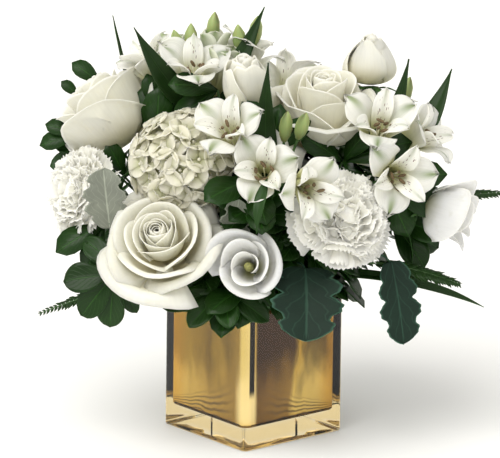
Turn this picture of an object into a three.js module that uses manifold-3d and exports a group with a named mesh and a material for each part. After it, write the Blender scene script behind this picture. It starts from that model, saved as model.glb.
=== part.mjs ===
// A round flower arrangement in a square gold glass vase: roses, carnations, lisianthus, a hydrangea
// head and alstroemeria, with mixed foliage. Every stem stands in its own hole in a block of floral
// foam inside the vase. Millimetres, +Z up. The origin is the middle of the vase's base, and the
// vase's sides face along X and Y.
import * as THREE from "three";
import { mergeVertices } from "three/addons/utils/BufferGeometryUtils.js";
import Module from "manifold-3d";

const wasm = await Module();
wasm.setup();

// ---- Driving dimensions ----
const VASE = { side: 92, height: 102, wall: 6, floor: 16, corner: 4, innerCorner: 3, bevel: 1.2 };
const FOAM = { side: 79, top: 112, corner: 4, under: 0.4, margin: 6 };
const GAP = 0.4; // room kept between neighbouring pieces
const BLADE = 0.8; // thickness of a petal or a leaf
const SEAT = 0.5; // gap from a stem's end to the bloom that it carries
const STEM_DEPTH = 26; // how far a stem stands in the foam
const SPRAY = { radius: 1.9, stalk: 1, arrive: 14, budRadius: 3.8, budHeight: 20 };
const TWIG = { radius: 1.6, springs: 0.97, length: 40, width: 18, bend: 0.45 };
const STALK = { silver: 1.4, frond: 1.2, tuck: 6 }; // radii, and how far a stalk runs into its blade
const FRONT_BEARING = THREE.MathUtils.degToRad(50.2); // the arrangement's front, turned from -Y towards +X
const GOLDEN_TURN = Math.PI * (3 - Math.sqrt(5));

const COLOURS = {
  glass: { color: 0xc9a24a, roughness: 0.12, metalness: 0.9 },
  foam: { color: 0x3f6b3c, roughness: 0.95, metalness: 0 },
  cream: { color: 0xefeada, roughness: 0.6, metalness: 0 },
  white: { color: 0xf1f0ee, roughness: 0.6, metalness: 0 },
  lime: { color: 0xdfe0bd, roughness: 0.65, metalness: 0 },
  stem: { color: 0x4d6b2c, roughness: 0.6, metalness: 0 },
  leaf: { color: 0x20401c, roughness: 0.45, metalness: 0 },
  silver: { color: 0x9aa8a2, roughness: 0.85, metalness: 0 },
};

// ---- The layout, in display coordinates: the middle of each face, and the way it looks ----
const BLOOMS = [
  {
    name: "rose_front", kind: "rose", radius: 42, height: 42, depth: 30, colour: "cream",
    at: [-69, 74, 165], axis: [-0.2, 0.7, 0.68], roll: 2.2, stem: "rose",
  },
  {
    name: "rose_left", kind: "rose", radius: 39, height: 60, depth: 48, colour: "cream",
    at: [-118, -42, 238], axis: [-0.6, -0.2, 0.77], roll: 0.4, stem: "rose",
  },
  {
    name: "rose_top", kind: "rose", radius: 43, height: 57, depth: 45, colour: "cream",
    at: [48, 2, 256], axis: [0.03, 0.2, 0.98], roll: 1.1, stem: "rose",
  },
  {
    name: "rose_back", kind: "rose", radius: 39, height: 41, depth: 30, colour: "cream",
    at: [-38, -84, 190], axis: [-0.25, -0.8, 0.5], roll: 0.9, stem: "rose",
  },
  {
    name: "rosebud_top", kind: "closedBloom", radius: 18, height: 42, depth: 20, colour: "cream",
    at: [-8, 13, 261], axis: [-0.12, 0.12, 0.98], roll: 0.5, stem: "rose",
  },
  {
    name: "rosebud_right", kind: "closedBloom", radius: 23, height: 38, depth: 18, colour: "cream",
    at: [82, -34, 266], axis: [0.0, -0.2, 0.98], roll: 2.0, stem: "rose",
  },
  {
    name: "lisianthus_front", kind: "lisianthus", radius: 25, height: 32, depth: 22, colour: "white",
    at: [-5, 88, 146], axis: [-0.12, 0.93, 0.35], roll: 0.3, stem: "lisianthus",
  },
  {
    name: "lisianthus_right", kind: "closedBloom", radius: 24, height: 42, depth: 22, colour: "white",
    at: [140, 20, 167], axis: [0.9, 0.1, -0.2], roll: 0.8, stem: "lisianthus",
  },
  {
    name: "carnation_front", kind: "carnation", radius: 42, height: 42, depth: 22, colour: "white",
    at: [62, 64, 175], axis: [0.3, 0.75, 0.58], roll: 0.2, stem: "carnation",
  },
  {
    name: "carnation_left", kind: "carnation", radius: 38, height: 39, depth: 19, colour: "white",
    at: [-123, 2, 175], axis: [-0.85, 0.45, 0.3], roll: 0.6, stem: "carnation",
  },
  {
    name: "carnation_back", kind: "carnation", radius: 37, height: 38, depth: 20, colour: "white",
    at: [78, -78, 180], axis: [0.5, -0.75, 0.45], roll: 0.6, stem: "carnation",
  },
  {
    name: "hydrangea", kind: "hydrangea", radius: 40, height: 80, depth: 40, colour: "lime",
    at: [-50, 24, 203], axis: [-0.15, 0.5, 0.85], roll: 0, stem: "hydrangea",
  },
];

const FLORET = { radius: 27, height: 40, depth: 30 };

/** Sprays of alstroemeria: the fork, then florets, buds and leaves that spring from it. */
const SPRAYS = [
  {
    name: "alstroemeria_left", fork: [-38, -24, 224],
    florets: [
      { at: [-46, -12, 265], axis: [0.05, 0.35, 0.9], roll: 0.4 },
      { at: [-78, -44, 262], axis: [-0.5, 0, 0.85], roll: 0.2 },
      { at: [-9, -52, 265], axis: [0.35, -0.3, 0.88], roll: 0.1 },
    ],
    buds: [{ at: [-48, -40, 268], axis: [0, -0.2, 1] }],
    leaves: [
      { grow: [-0.5, 0.4, 0.78], face: [0.1, 1, 0.2], length: 94, width: 17, bend: 0.25 },
      { grow: [0.44, -0.1, 0.87], face: [-0.3, 1, 0.2], length: 92, width: 15, bend: 0.15 },
    ],
  },
  {
    name: "alstroemeria_front", fork: [12, 34, 178],
    florets: [
      { at: [-20, 66, 241], axis: [-0.25, 0.6, 0.72], roll: 0.5 },
      { at: [5, 80, 215], axis: [-0.06, 0.85, 0.45], roll: 0.2 },
      { at: [38, 100, 207], axis: [0.42, 0.87, 0.04], roll: 0.9 },
    ],
    buds: [
      { at: [30, 52, 232], axis: [0.25, 0.3, 0.9] },
      { at: [20, 45, 228], axis: [0.1, 0.1, 1] },
    ],
    leaves: [{ grow: [-0.05, 0.05, 1], face: [-0.2, 1, 0.2], length: 104, width: 17, bend: 0.1 }],
  },
  {
    name: "alstroemeria_right", fork: [84, 6, 190],
    florets: [
      { at: [88, 36, 238], axis: [0.15, 0.6, 0.75], roll: 0.3 },
      { at: [121, 12, 223], axis: [0.85, 0.2, 0.5], roll: 0.5 },
      { at: [101, 52, 205], axis: [0.3, 0.9, 0.15], roll: 0.1 },
    ],
    buds: [{ at: [104, -14, 238], axis: [0.3, -0.2, 1] }],
    leaves: [
      { grow: [0.25, -0.07, 0.97], face: [-0.5, 0.8, 0.2], length: 90, width: 16, bend: 0.1 },
      { grow: [0.6, -0.41, 0.66], face: [-0.4, 0.7, 0.6], length: 98, width: 19, bend: -0.2 },
    ],
  },
  {
    name: "alstroemeria_back", fork: [24, -52, 190],
    florets: [
      { at: [22, -84, 238], axis: [0.1, -0.65, 0.75], roll: 0.5 },
      { at: [36, -114, 200], axis: [0.15, -0.9, 0.3], roll: 0.2 },
    ],
    buds: [{ at: [0, -72, 232], axis: [-0.1, -0.4, 0.9] }],
    leaves: [
      { grow: [-0.45, -0.3, 0.85], face: [0, -0.8, 0.4], length: 72, width: 17, bend: 0.3 },
      { grow: [0.5, -0.6, 0.5], face: [0, -0.6, 0.7], length: 80, width: 16, bend: 0.4 },
    ],
  },
];

/** Soft silver leaves, each cut with its own stalk. */
const SILVER_LEAVES = [
  {
    name: "dusty_miller_left", root: [-104, 42, 160], grow: [-0.12, 0.15, 0.97], face: [-0.25, 0.95, 0],
    length: 46, width: 34, bend: 0.1,
  },
  {
    name: "dusty_miller_low", root: [36, 64, 138], grow: [0.05, 0.8, -0.3], face: [0.1, 0.5, 0.8],
    length: 62, width: 54, bend: 0.8,
  },
  {
    name: "dusty_miller_right", root: [98, 44, 138], grow: [0.2, 0.3, -0.9], face: [0.3, 0.9, 0.3],
    length: 60, width: 32, bend: 0.3,
  },
  {
    name: "dusty_miller_mid", root: [-16, 56, 152], grow: [0.1, 0.3, 0.9], face: [0, 0.9, -0.2],
    length: 38, width: 24, bend: 0.2,
  },
  {
    name: "dusty_miller_back", root: [-10, -60, 140], grow: [-0.1, -0.85, 0.1], face: [0, 0.4, 0.9],
    length: 70, width: 42, bend: 0.9,
  },
];

/** Glossy leafy twigs: where the stem ends, and the leaves that spring near its end. */
const TWIGS = [
  {
    name: "pittosporum_low_left", tip: [-102, 50, 127], axis: [-0.8, 0.5, -0.1], face: [-0.1, 0.85, 0.5],
    leaves: [
      { grow: [-0.97, 0.1, -0.05], length: 38, width: 23 }, { grow: [-0.65, 0.15, -0.72], width: 22 },
      { grow: [-0.12, 0.2, -0.95], width: 21 }, { grow: [0.5, 0.3, -0.8], length: 32, width: 13 },
      { grow: [-0.8, -0.3, 0.6], springs: 0.86 },
    ],
  },
  {
    name: "pittosporum_front", tip: [-22, 62, 119], axis: [-0.2, 0.95, -0.2], face: [0, 0.7, 0.7],
    leaves: [
      { grow: [-0.97, 0.25, -0.12], length: 46 }, { grow: [-0.6, 0.7, -0.35] },
      { grow: [0.1, 0.9, -0.4], length: 34 }, { grow: [0.8, 0.55, -0.3] },
      { grow: [1, 0, 0.05], springs: 0.88 },
    ],
  },
  {
    name: "pittosporum_left", tip: [-112, -42, 190], axis: [-0.9, -0.3, 0.3], face: [-0.2, 0.8, 0.55],
    leaves: [
      { grow: [-0.9, 0.1, 0.4] }, { grow: [-0.95, 0.3, 0.0] }, { grow: [-0.6, -0.5, 0.75], length: 46 },
      { grow: [-0.6, -0.8, 0.1] },
    ],
  },
  {
    name: "pittosporum_right", tip: [100, 6, 158], axis: [0.85, 0.45, 0.2], face: [0.2, 0.85, 0.4],
    leaves: [
      { grow: [0.75, 0.2, 0.6], length: 42, width: 22 }, { grow: [0.9, 0.4, -0.05], length: 42, width: 22 },
      { grow: [0.6, 0.55, -0.6], length: 42, width: 22 }, { grow: [0.1, 0.6, 0.75], length: 42, width: 22 },
      { grow: [0.95, 0.0, -0.5], length: 42, width: 22 },
    ],
  },
  {
    name: "pittosporum_back_left", tip: [-88, -62, 140], axis: [-0.7, -0.7, 0.0],
    leaves: [
      { grow: [-1, -0.2, 0.1] }, { grow: [-0.7, -0.7, -0.4] }, { grow: [-0.2, -0.95, -0.1] },
      { grow: [-0.6, -0.6, 0.6] }, { grow: [-0.8, 0.3, -0.4] },
    ],
  },
  {
    name: "pittosporum_back_right", tip: [66, -62, 128], axis: [0.7, -0.7, -0.1],
    leaves: [
      { grow: [1, -0.2, 0.1] }, { grow: [0.7, -0.7, -0.4] }, { grow: [0.2, -0.95, -0.1] },
      { grow: [-0.5, -0.8, -0.2] }, { grow: [0.9, 0.3, -0.3] },
    ],
  },
];

/** Fern fronds and arching blades of grass. */
const FRONDS = [
  {
    name: "fern_right", root: [82, 32, 134], grow: [0.95, 0.15, -0.05], face: [0, 0.4, 0.9],
    length: 68, width: 22, bend: 0.35, outline: "pinnate",
  },
  {
    name: "fern_far_right", root: [94, -32, 158], grow: [0.95, 0.05, 0.2], face: [0, 0.4, 0.9],
    length: 84, width: 24, bend: 0.15, outline: "pinnate",
  },
  {
    name: "fern_left", root: [-72, 20, 117], grow: [-0.95, 0.15, -0.2], face: [0, 0.6, 0.8],
    length: 88, width: 15, bend: 0.25, outline: "pinnate",
  },
  {
    name: "grass_right", root: [70, 20, 122], grow: [0.92, 0.05, -0.04], face: [-0.1, 0.7, 0.75],
    length: 104, width: 9, bend: 0.7, outline: "strap",
  },
  {
    name: "grass_left", root: [-84, -70, 206], grow: [-0.28, 0.12, 0.95], face: [0.6, 0.7, 0.2],
    length: 90, width: 5, bend: -0.15, outline: "strap",
  },
];

// ---- Petals ----
/** Petal edges as [side, share of the way from the notch to the rim]. */
const ROUND = [[-1, 0.66], [-0.5, 1], [0.5, 1], [1, 0.66]];
const TOOTHED = [[-1, 0.74], [-0.6, 1], [-0.2, 0.86], [0.2, 1], [0.6, 0.84], [1, 0.98]];
const BROAD = [[-0.8, 0.45], [-1, 0.8], [0, 1], [1, 0.8], [0.8, 0.45]];
const SLIM = [[-1, 0.65], [0, 1], [1, 0.65]];

/**
 * Whorls from the outside in, as shares of a bloom's radius and height: the foot's height, then
 * [radius, height] at the notch, belly and rim. Lap, roll and wave are millimetres.
 */
const ROSE = [
  { count: 5, foot: 0.04, notch: [0.42, 0.14], belly: [0.86, 0.2], rim: [0.9, 0.56], lap: 1.2, roll: 4 },
  { count: 5, foot: 0.14, notch: [0.34, 0.3], belly: [0.66, 0.4], rim: [0.64, 0.84], lap: 1.2, roll: 3.2 },
  { count: 4, foot: 0.26, notch: [0.22, 0.46], belly: [0.42, 0.6], rim: [0.36, 0.98], lap: 1.6, roll: 1 },
];
const HALF_OPEN = [
  { count: 4, foot: 0.05, notch: [0.6, 0.2], belly: [1.05, 0.5], rim: [0.8, 0.92], lap: 0.8, roll: 2 },
  { count: 3, foot: 0.2, notch: [0.38, 0.36], belly: [0.66, 0.6], rim: [0.48, 1], lap: 0.8 },
];
const LISIANTHUS = [
  { count: 5, foot: 0.04, notch: [0.4, 0.16], belly: [0.9, 0.4], rim: [0.9, 0.8], lap: 1.2, roll: 3 },
  { count: 4, foot: 0.18, notch: [0.34, 0.36], belly: [0.66, 0.6], rim: [0.6, 1], lap: 1, roll: 1.5 },
];
const CARNATION = [
  { count: 6, foot: 0.1, notch: [0.3, 0.3], belly: [0.6, 0.42], rim: [1, 0.4], wave: 1.6 },
  { count: 5, foot: 0.24, notch: [0.24, 0.44], belly: [0.5, 0.62], rim: [0.82, 0.76], wave: 1.8 },
  { count: 4, foot: 0.38, notch: [0.16, 0.56], belly: [0.3, 0.8], rim: [0.44, 1], wave: 1.6 },
];
const PETAL_FILL = 0.92; // how much of its share of the turn a petal fills
const ROLL_START = 0.8; // where a petal's rim starts to roll outwards, and how much it drops
const ROLL_DROP = 0.8;

/** Each kind of stem: its radius, its cup as [radius, depth], and how far its sepals reach and droop. */
const STEMS = {
  rose: { radius: 2.6, cup: [6.5, 8], sepals: 5, reach: 24, droop: -7 },
  lisianthus: { radius: 1.8, cup: [4.5, 6], sepals: 5, reach: 19, droop: -4 },
  carnation: { radius: 2, cup: [5.5, 24] },
  hydrangea: { radius: 3.4, cup: [4.6, 8] },
};

const vector = (x, y, z) => new THREE.Vector3(x, y, z);

// ---- Display coordinates: right, towards the viewer, up ----
const RIGHT = vector(Math.cos(FRONT_BEARING), Math.sin(FRONT_BEARING), 0);
const TOWARD = vector(Math.sin(FRONT_BEARING), -Math.cos(FRONT_BEARING), 0);
const UP = vector(0, 0, 1);
const shown = ([right, toward, up]) =>
  vector(0, 0, up).addScaledVector(RIGHT, right).addScaledVector(TOWARD, toward);
const aimed = (direction) => shown(direction).normalize();

/** A frame at a point with +Z along the axis and +X level, then rolled about the axis. */
function frameAt(origin, axis, roll = 0) {
  const level = UP.clone().cross(axis);
  if (level.length() < 1e-3) level.copy(RIGHT);
  level.normalize();
  const frame = new THREE.Matrix4().makeBasis(level, axis.clone().cross(level), axis);
  return frame.multiply(new THREE.Matrix4().makeRotationZ(roll)).setPosition(origin);
}

/** A frame for a blade: +Z along its growth and +Y out of its upper face. */
function bladeFrame(origin, growth, face) {
  const across = face.clone().cross(growth).normalize();
  return new THREE.Matrix4().makeBasis(across, growth.clone().cross(across), growth).setPosition(origin);
}

// ---- Solids ----
/** A solid from points and triangles, with doubled points merged and collapsed triangles dropped. */
function solidFrom(points, triangles) {
  const geometry = new THREE.BufferGeometry().setFromPoints(points);
  geometry.setIndex(triangles.flat());
  return solidOf(geometry);
}

function solidOf(geometry) {
  geometry.deleteAttribute("normal");
  geometry.deleteAttribute("uv");
  const merged = mergeVertices(geometry, 1e-3);
  const index = merged.index.array;
  const kept = [];
  for (let i = 0; i < index.length; i += 3) {
    const [a, b, c] = [index[i], index[i + 1], index[i + 2]];
    if (a !== b && b !== c && c !== a) kept.push(a, b, c);
  }
  const build = (triVerts) =>
    new wasm.Manifold(
      new wasm.Mesh({
        numProp: 3,
        vertProperties: new Float32Array(merged.attributes.position.array),
        triVerts: new Uint32Array(triVerts),
      }),
    );
  const solid = build(kept);
  return solid.volume() < 0 ? build(kept.reverse()) : solid;
}

const moved = (solid, frame) => solid.transform(frame.elements);
const join = (solids) => wasm.Manifold.union(solids);

/** The body of a solid that is largest, or that stands lowest: scraps left by a cut are dropped. */
function mainBody(solid, rooted) {
  const rank = (body) => (rooted ? -body.boundingBox().min[2] : body.volume());
  return solid.decompose().reduce((best, body) => (rank(body) > rank(best) ? body : best));
}

function boxesMeet(a, b) {
  const [p, q] = [a.boundingBox(), b.boundingBox()];
  return [0, 1, 2].every((k) => p.min[k] < q.max[k] && q.min[k] < p.max[k]);
}

/** A closed sheet of even thickness over a patch of triangles, which are the same on both its faces. */
function shell(points, faces, thickness = BLADE) {
  const places = new Map();
  const kept = [];
  const merged = points.map((p) => {
    const key = p.toArray().map((x) => Math.round(x * 1e3)).join();
    if (!places.has(key)) places.set(key, kept.push(p) - 1);
    return places.get(key);
  });
  const patch = faces
    .map((face) => face.map((i) => merged[i]))
    .filter(([a, b, c]) => a !== b && b !== c && c !== a);
  const normals = kept.map(() => vector(0, 0, 0));
  const edges = new Set();
  for (const face of patch) {
    const [a, b, c] = face.map((i) => kept[i]);
    const normal = b.clone().sub(a).cross(c.clone().sub(a));
    face.forEach((i, k) => {
      normals[i].add(normal);
      edges.add([i, face[(k + 1) % 3]].join());
    });
  }
  const back = kept.length;
  normals.forEach((normal) => normal.normalize());
  const offset = (side) => kept.map((p, i) => p.clone().addScaledVector(normals[i], side));
  const closed = patch.flatMap(([a, b, c]) => [[a, b, c], [back + a, back + c, back + b]]);
  for (const edge of edges) {
    const [a, b] = edge.split(",").map(Number);
    if (!edges.has([b, a].join())) closed.push([b, a, back + a], [b, back + a, back + b]);
  }
  return solidFrom([...offset(thickness / 2), ...offset(-thickness / 2)], closed);
}

/** A closed sheet over a grid of points. */
function sheet(grid, thickness) {
  const columns = grid[0].length;
  const faces = [];
  for (let i = 0; i < grid.length - 1; i++)
    for (let j = 0; j < columns - 1; j++) {
      const a = i * columns + j;
      faces.push([a, a + 1, a + 1 + columns], [a, a + 1 + columns, a + columns]);
    }
  return shell(grid.flat(), faces, thickness);
}

/** A turned solid about +Z from [radius, height] pairs that start and end on the axis. */
function turned(profile, sides) {
  const geometry = new THREE.LatheGeometry(
    profile.map(([radius, height]) => new THREE.Vector2(radius, height)),
    sides,
  );
  return solidOf(geometry.rotateX(Math.PI / 2));
}

/** A round tube along a curve. */
function tube(curve, radius, { sides = 5, steps = 3 } = {}) {
  const section = new THREE.Shape(
    Array.from({ length: sides }, (_, k) => {
      const turn = (2 * Math.PI * k) / sides;
      return new THREE.Vector2(radius * Math.cos(turn), radius * Math.sin(turn));
    }),
  );
  return solidOf(new THREE.ExtrudeGeometry(section, { steps, bevelEnabled: false, extrudePath: curve }));
}

/** The room that a bloom takes up: a turned envelope that holds all of it, grown by the gap. */
function roomOf(bloom) {
  const sides = 12;
  const directions = 11;
  const mesh = bloom.getMesh();
  const spread = Array.from({ length: mesh.numVert }, (_, i) => {
    const [x, y, z] = mesh.vertProperties.subarray(i * mesh.numProp, i * mesh.numProp + 3);
    return [Math.hypot(x, y) / Math.cos(Math.PI / sides), z];
  });
  const lines = Array.from({ length: directions }, (_, k) => {
    const turn = Math.PI * (k / (directions - 1) - 0.5);
    const [cos, sin] = [Math.cos(turn), Math.sin(turn)];
    return { cos, sin, reach: Math.max(...spread.map(([r, z]) => r * cos + z * sin)) + GAP };
  });
  const corners = lines.slice(1).map((line, k) => {
    const before = lines[k];
    const cross = before.cos * line.sin - before.sin * line.cos;
    return [
      (before.reach * line.sin - line.reach * before.sin) / cross,
      (line.reach * before.cos - before.reach * line.cos) / cross,
    ];
  });
  return turned([[0, corners[0][1]], ...corners, [0, corners.at(-1)[1]]], sides);
}

// ---- The vase and the foam ----
function roundedSquare(side, corner) {
  const half = side / 2;
  const inner = half - corner;
  const shape = new THREE.Shape();
  shape.absarc(inner, inner, corner, 0, Math.PI / 2);
  shape.absarc(-inner, inner, corner, Math.PI / 2, Math.PI);
  shape.absarc(-inner, -inner, corner, Math.PI, 1.5 * Math.PI);
  shape.absarc(inner, -inner, corner, 1.5 * Math.PI, 2 * Math.PI);
  return shape;
}

/** An upright block with rounded corners, from one height up to another. */
function uprightBlock({ side, corner, bottom, top, bevel = 0, curveSegments }) {
  const block = new THREE.ExtrudeGeometry(roundedSquare(side - 2 * bevel, corner - bevel), {
    depth: top - bottom - 2 * bevel,
    bevelEnabled: bevel > 0,
    bevelThickness: bevel,
    bevelSize: bevel,
    bevelSegments: 1,
    curveSegments,
  });
  return solidOf(block.translate(0, 0, bottom + bevel));
}

function vaseSolid(grow = 0) {
  const { side, height, wall, floor, corner, innerCorner, bevel } = VASE;
  const outside = { side: side + 2 * grow, corner: corner + grow, bottom: -grow, top: height + grow };
  const inside = { side: side - 2 * wall - 2 * grow, corner: innerCorner, bottom: floor + grow };
  return uprightBlock({ ...outside, bevel, curveSegments: 3 }).subtract(
    uprightBlock({ ...inside, top: 2 * height, curveSegments: 2 }),
  );
}

function foamBlock() {
  const { side, corner, top, under } = FOAM;
  return uprightBlock({ side, corner, bottom: VASE.floor + under, top, curveSegments: 1 });
}

// ---- Blooms: each stands on its own origin and opens along +Z ----
/**
 * One whorl of petals as a single sheet: a funnel up to the notches between the petals, then a fan
 * for each. The notch, belly and rim are [radius, height], and half is the petal's half angle.
 */
function whorl({ count, turn = 0, foot, notch, petal }, thickness) {
  const points = [vector(0, 0, foot)];
  const faces = [];
  const pitch = (2 * Math.PI) / count;
  const place = (angle, radius, height) =>
    vector(radius * Math.cos(angle), radius * Math.sin(angle), height);
  for (let k = 0; k < count; k++) points.push(place(turn + (k - 0.5) * pitch, ...notch));
  for (let k = 0; k < count; k++) {
    const { belly, rim, half, outline, lap = 0, roll = 0, wave = 0 } = petal(k);
    const curve = (v, i) => (1 - v) ** 2 * notch[i] + 2 * v * (1 - v) * belly[i] + v * v * rim[i];
    const on = (u, v, ripple) => {
      const rolled = roll * Math.max(0, (v - ROLL_START) / (1 - ROLL_START));
      const radius = curve(v, 0) + lap * u + rolled - ripple;
      return place(turn + k * pitch + u * half, radius, curve(v, 1) - ROLL_DROP * rolled + ripple);
    };
    const [right, left] = [1 + k, 1 + ((k + 1) % count)];
    faces.push([0, right, left]);
    const first = points.length;
    outline.forEach(([u, v], i) => points.push(on(u, v, i % 2 ? -wave : wave)));
    if (outline.length === 1) {
      faces.push([left, right, first]);
      continue;
    }
    const middle = points.push(on(0, 0.55, 0)) - 1;
    faces.push([left, right, middle], [middle, right, first], [middle, middle - 1, left]);
    for (let i = first; i < middle - 1; i++) faces.push([middle, i, i + 1]);
  }
  return shell(points, faces, thickness);
}

/** Whorls of one petal outline round a core, sized to the bloom. */
function layered(core, whorls, outline, { radius, height }) {
  const sized = ([r, z]) => [r * radius, z * height];
  const parts = [turned(core, 5)];
  whorls.forEach(({ count, foot, notch, belly, rim, ...rest }, w) => {
    const half = (PETAL_FILL * Math.PI) / count;
    const petal = () => ({ belly: sized(belly), rim: sized(rim), half, outline, ...rest });
    parts.push(
      whorl({ count, turn: w * GOLDEN_TURN, foot: foot * height, notch: sized(notch), petal }),
    );
  });
  return join(parts);
}

/** An open rose, from its closed heart to the rolled outer petals. */
function rose({ radius, height }) {
  const tip = [radius * 0.14, height * 0.85];
  const heart = [[0, 0], [7, 0], [8, 4], [4.5, height / 2], tip, [0, height * 0.96]];
  return layered(heart, ROSE, ROUND, { radius, height });
}

/** A rose or lisianthus still half closed. */
function closedBloom({ radius, height }) {
  const heart = [[0, 0], [4, 0], [5, 4], [3, height / 2], [radius * 0.2, height * 0.8], [0, height * 0.97]];
  return layered(heart, HALF_OPEN, ROUND, { radius, height });
}

/** An open lisianthus: a loose cup round a pistil that shows in its middle. */
function lisianthus({ radius, height }) {
  const pistil = [[0, 0], [5, 0], [5, 4], [2.4, height / 2], [3.4, height * 0.58], [0, height * 0.66]];
  return layered(pistil, LISIANTHUS, ROUND, { radius, height });
}

/** A carnation: whorls of toothed, ruffled petals. */
function carnation({ radius, height }) {
  const core = [[0, 0], [4.5, 0], [6, height * 0.2], [4, height * 0.6], [0, height * 0.84]];
  return layered(core, CARNATION, TOOTHED, { radius, height });
}

/** A hydrangea floret: four lobes round a hollow, tapering to its stalk in the head. */
function hydrangeaFloret(direction, { core, reach, radius }, roll) {
  const lobes = 4;
  const rim = 2 * lobes;
  const points = [vector(0, 0, core), vector(0, 0, reach - 3)];
  for (let k = 0; k < rim; k++) {
    const turn = (2 * Math.PI * k) / rim;
    const [wide, drop] = k % 2 ? [0.66 * radius, 2] : [radius, 0];
    points.push(vector(wide * Math.cos(turn), wide * Math.sin(turn), reach - drop));
  }
  const faces = [];
  for (let k = 0; k < rim; k++) {
    const [a, b] = [2 + k, 2 + ((k + 1) % rim)];
    faces.push([0, b, a], [1, a, b]);
  }
  return moved(solidFrom(points, faces), frameAt(vector(0, 0, 0), direction, roll));
}

/** A hydrangea head: florets spread evenly over a round core, down to its stalk. */
function hydrangea({ radius }) {
  const florets = 24;
  const covered = 1.45; // how far down the florets go, where 2 is all round
  const head = [
    solidOf(new THREE.IcosahedronGeometry(radius * 0.66, 1)),
    turned([[0, -radius], [4, -radius], [4, 0], [0, 0]], 6),
  ];
  for (let k = 0; k < florets; k++) {
    const lift = 1 - covered * ((k + 0.5) / florets);
    const flat = Math.sqrt(1 - lift * lift);
    const turn = k * GOLDEN_TURN;
    const direction = vector(flat * Math.cos(turn), flat * Math.sin(turn), lift);
    const reach = radius * (k % 3 ? 1 : 0.93);
    head.push(hydrangeaFloret(direction, { core: radius / 2, reach, radius: radius * 0.3 }, k));
  }
  return moved(join(head), new THREE.Matrix4().makeTranslation(0, 0, radius));
}

/** An alstroemeria floret: three broad outer tepals and three slim inner ones round a funnel. */
function alstroemeria({ radius, height }) {
  const belly = [radius * 0.3, height * 0.72];
  const outer = { belly, rim: [radius, height * 0.9], half: 0.6, outline: BROAD };
  const inner = { belly, rim: [radius * 0.9, height * 1.02], half: 0.32, outline: SLIM };
  const petal = (k) => (k % 2 ? inner : outer);
  return whorl({ count: 6, foot: 0.6, notch: [5.5, height * 0.4], petal });
}

const BLOOM_KINDS = { rose, closedBloom, lisianthus, carnation, hydrangea };

// ---- Foliage ----
/** Rounded lobes with deep notches, widest past the middle. */
function lobedOutline(lobes) {
  const outline = [[0, 0.12]];
  for (let k = 0; k < lobes; k++) {
    const wide = 0.55 + 0.45 * Math.sin(Math.PI * ((k + 1) / (lobes + 0.6)));
    outline.push([(k + 0.45) / lobes, wide * 0.96]);
    outline.push([(k + 0.75) / lobes, wide]);
    if (k < lobes - 1) outline.push([(k + 1) / lobes, wide * 0.74]);
  }
  return [...outline, [1, 0]];
}

/** Pointed leaflets cut almost to the rib, longest a third of the way up, swept towards the tip. */
function pinnateOutline(leaflets) {
  const sweep = 0.09;
  const outline = [[0, 0.06]];
  for (let k = 0; k < leaflets; k++) {
    const share = (k + 0.7) / leaflets;
    outline.push([share, Math.sin(Math.PI * (0.25 + 0.72 * share)) ** 0.8, sweep]);
    if (k < leaflets - 1) outline.push([(k + 1) / leaflets, 0.1]);
  }
  return [...outline, [1, 0]];
}

/** Outlines as [distance along the rib, half width] pairs, both as shares. */
const OUTLINES = {
  obovate: [[0, 0.14], [0.4, 0.75], [0.8, 1], [1, 0.3]],
  lance: [[0, 0.25], [0.45, 1], [1, 0]],
  strap: [[0, 0.8], [0.35, 1], [0.7, 0.7], [1, 0]],
  lobed: lobedOutline(4),
  pinnate: pinnateOutline(7),
};
const FOLD = 0.2; // how far the halves of a blade fold up about its rib

/** A blade that arches away from its upper face, as rows of points across it. */
function bladeGrid({ outline, length, width, bend, columns = [-1, 0, 1] }, grow) {
  const total = length + grow;
  return OUTLINES[outline].map(([share, wide, sweep = 0]) =>
    columns.map((u) => {
      const angle = bend * (share + sweep * Math.abs(u));
      const along = (total * Math.sin(angle)) / bend;
      const drop = (total * (1 - Math.cos(angle))) / bend;
      const half = (wide * width) / 2 + (wide ? grow : 0);
      const raised = Math.abs(u) * half * Math.sin(FOLD);
      const side = u * half * Math.cos(FOLD);
      return vector(side, raised * Math.cos(angle) - drop, along + raised * Math.sin(angle));
    }),
  );
}

/** A blade at its origin. One with no face of its own turns its upper face to the sky. */
function blade(leaf, grow = 0) {
  const growth = aimed(leaf.grow);
  const sky = vector(0.4 * growth.x, 0.4 * growth.y, 1);
  const face = leaf.face ? aimed(leaf.face) : sky;
  const upper = face.addScaledVector(growth, -face.dot(growth)).normalize();
  const frame = bladeFrame(leaf.origin, growth, upper);
  return moved(sheet(bladeGrid(leaf, grow), BLADE + 2 * grow), frame);
}

// ---- Stems: each solid is made once as it is, and once grown by the gap as the room it takes up ----
/** A bloom's stem with its calyx: a star of sepals, or a green cup. */
function bloomStem({ frame, line, kind }, grow) {
  const { radius, cup, sepals, reach, droop } = STEMS[kind];
  const [wide, deep] = [cup[0] + grow, cup[1]];
  const stem = tube(line, radius + grow);
  if (!sepals) {
    const profile = [[0, -deep - grow], [wide, 5 - deep], [wide, 0], [0, 0]];
    return join([stem, moved(turned(profile, 6), frame)]);
  }
  const rim = [reach + grow, droop];
  const petal = () => ({ belly: [reach / 2, -1], rim, half: 0, outline: [[0, 1]] });
  const star = whorl({ count: sepals, foot: -deep, notch: [cup[0], -2], petal }, BLADE + 2 * grow);
  return join([stem, moved(star, frame)]);
}

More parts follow.
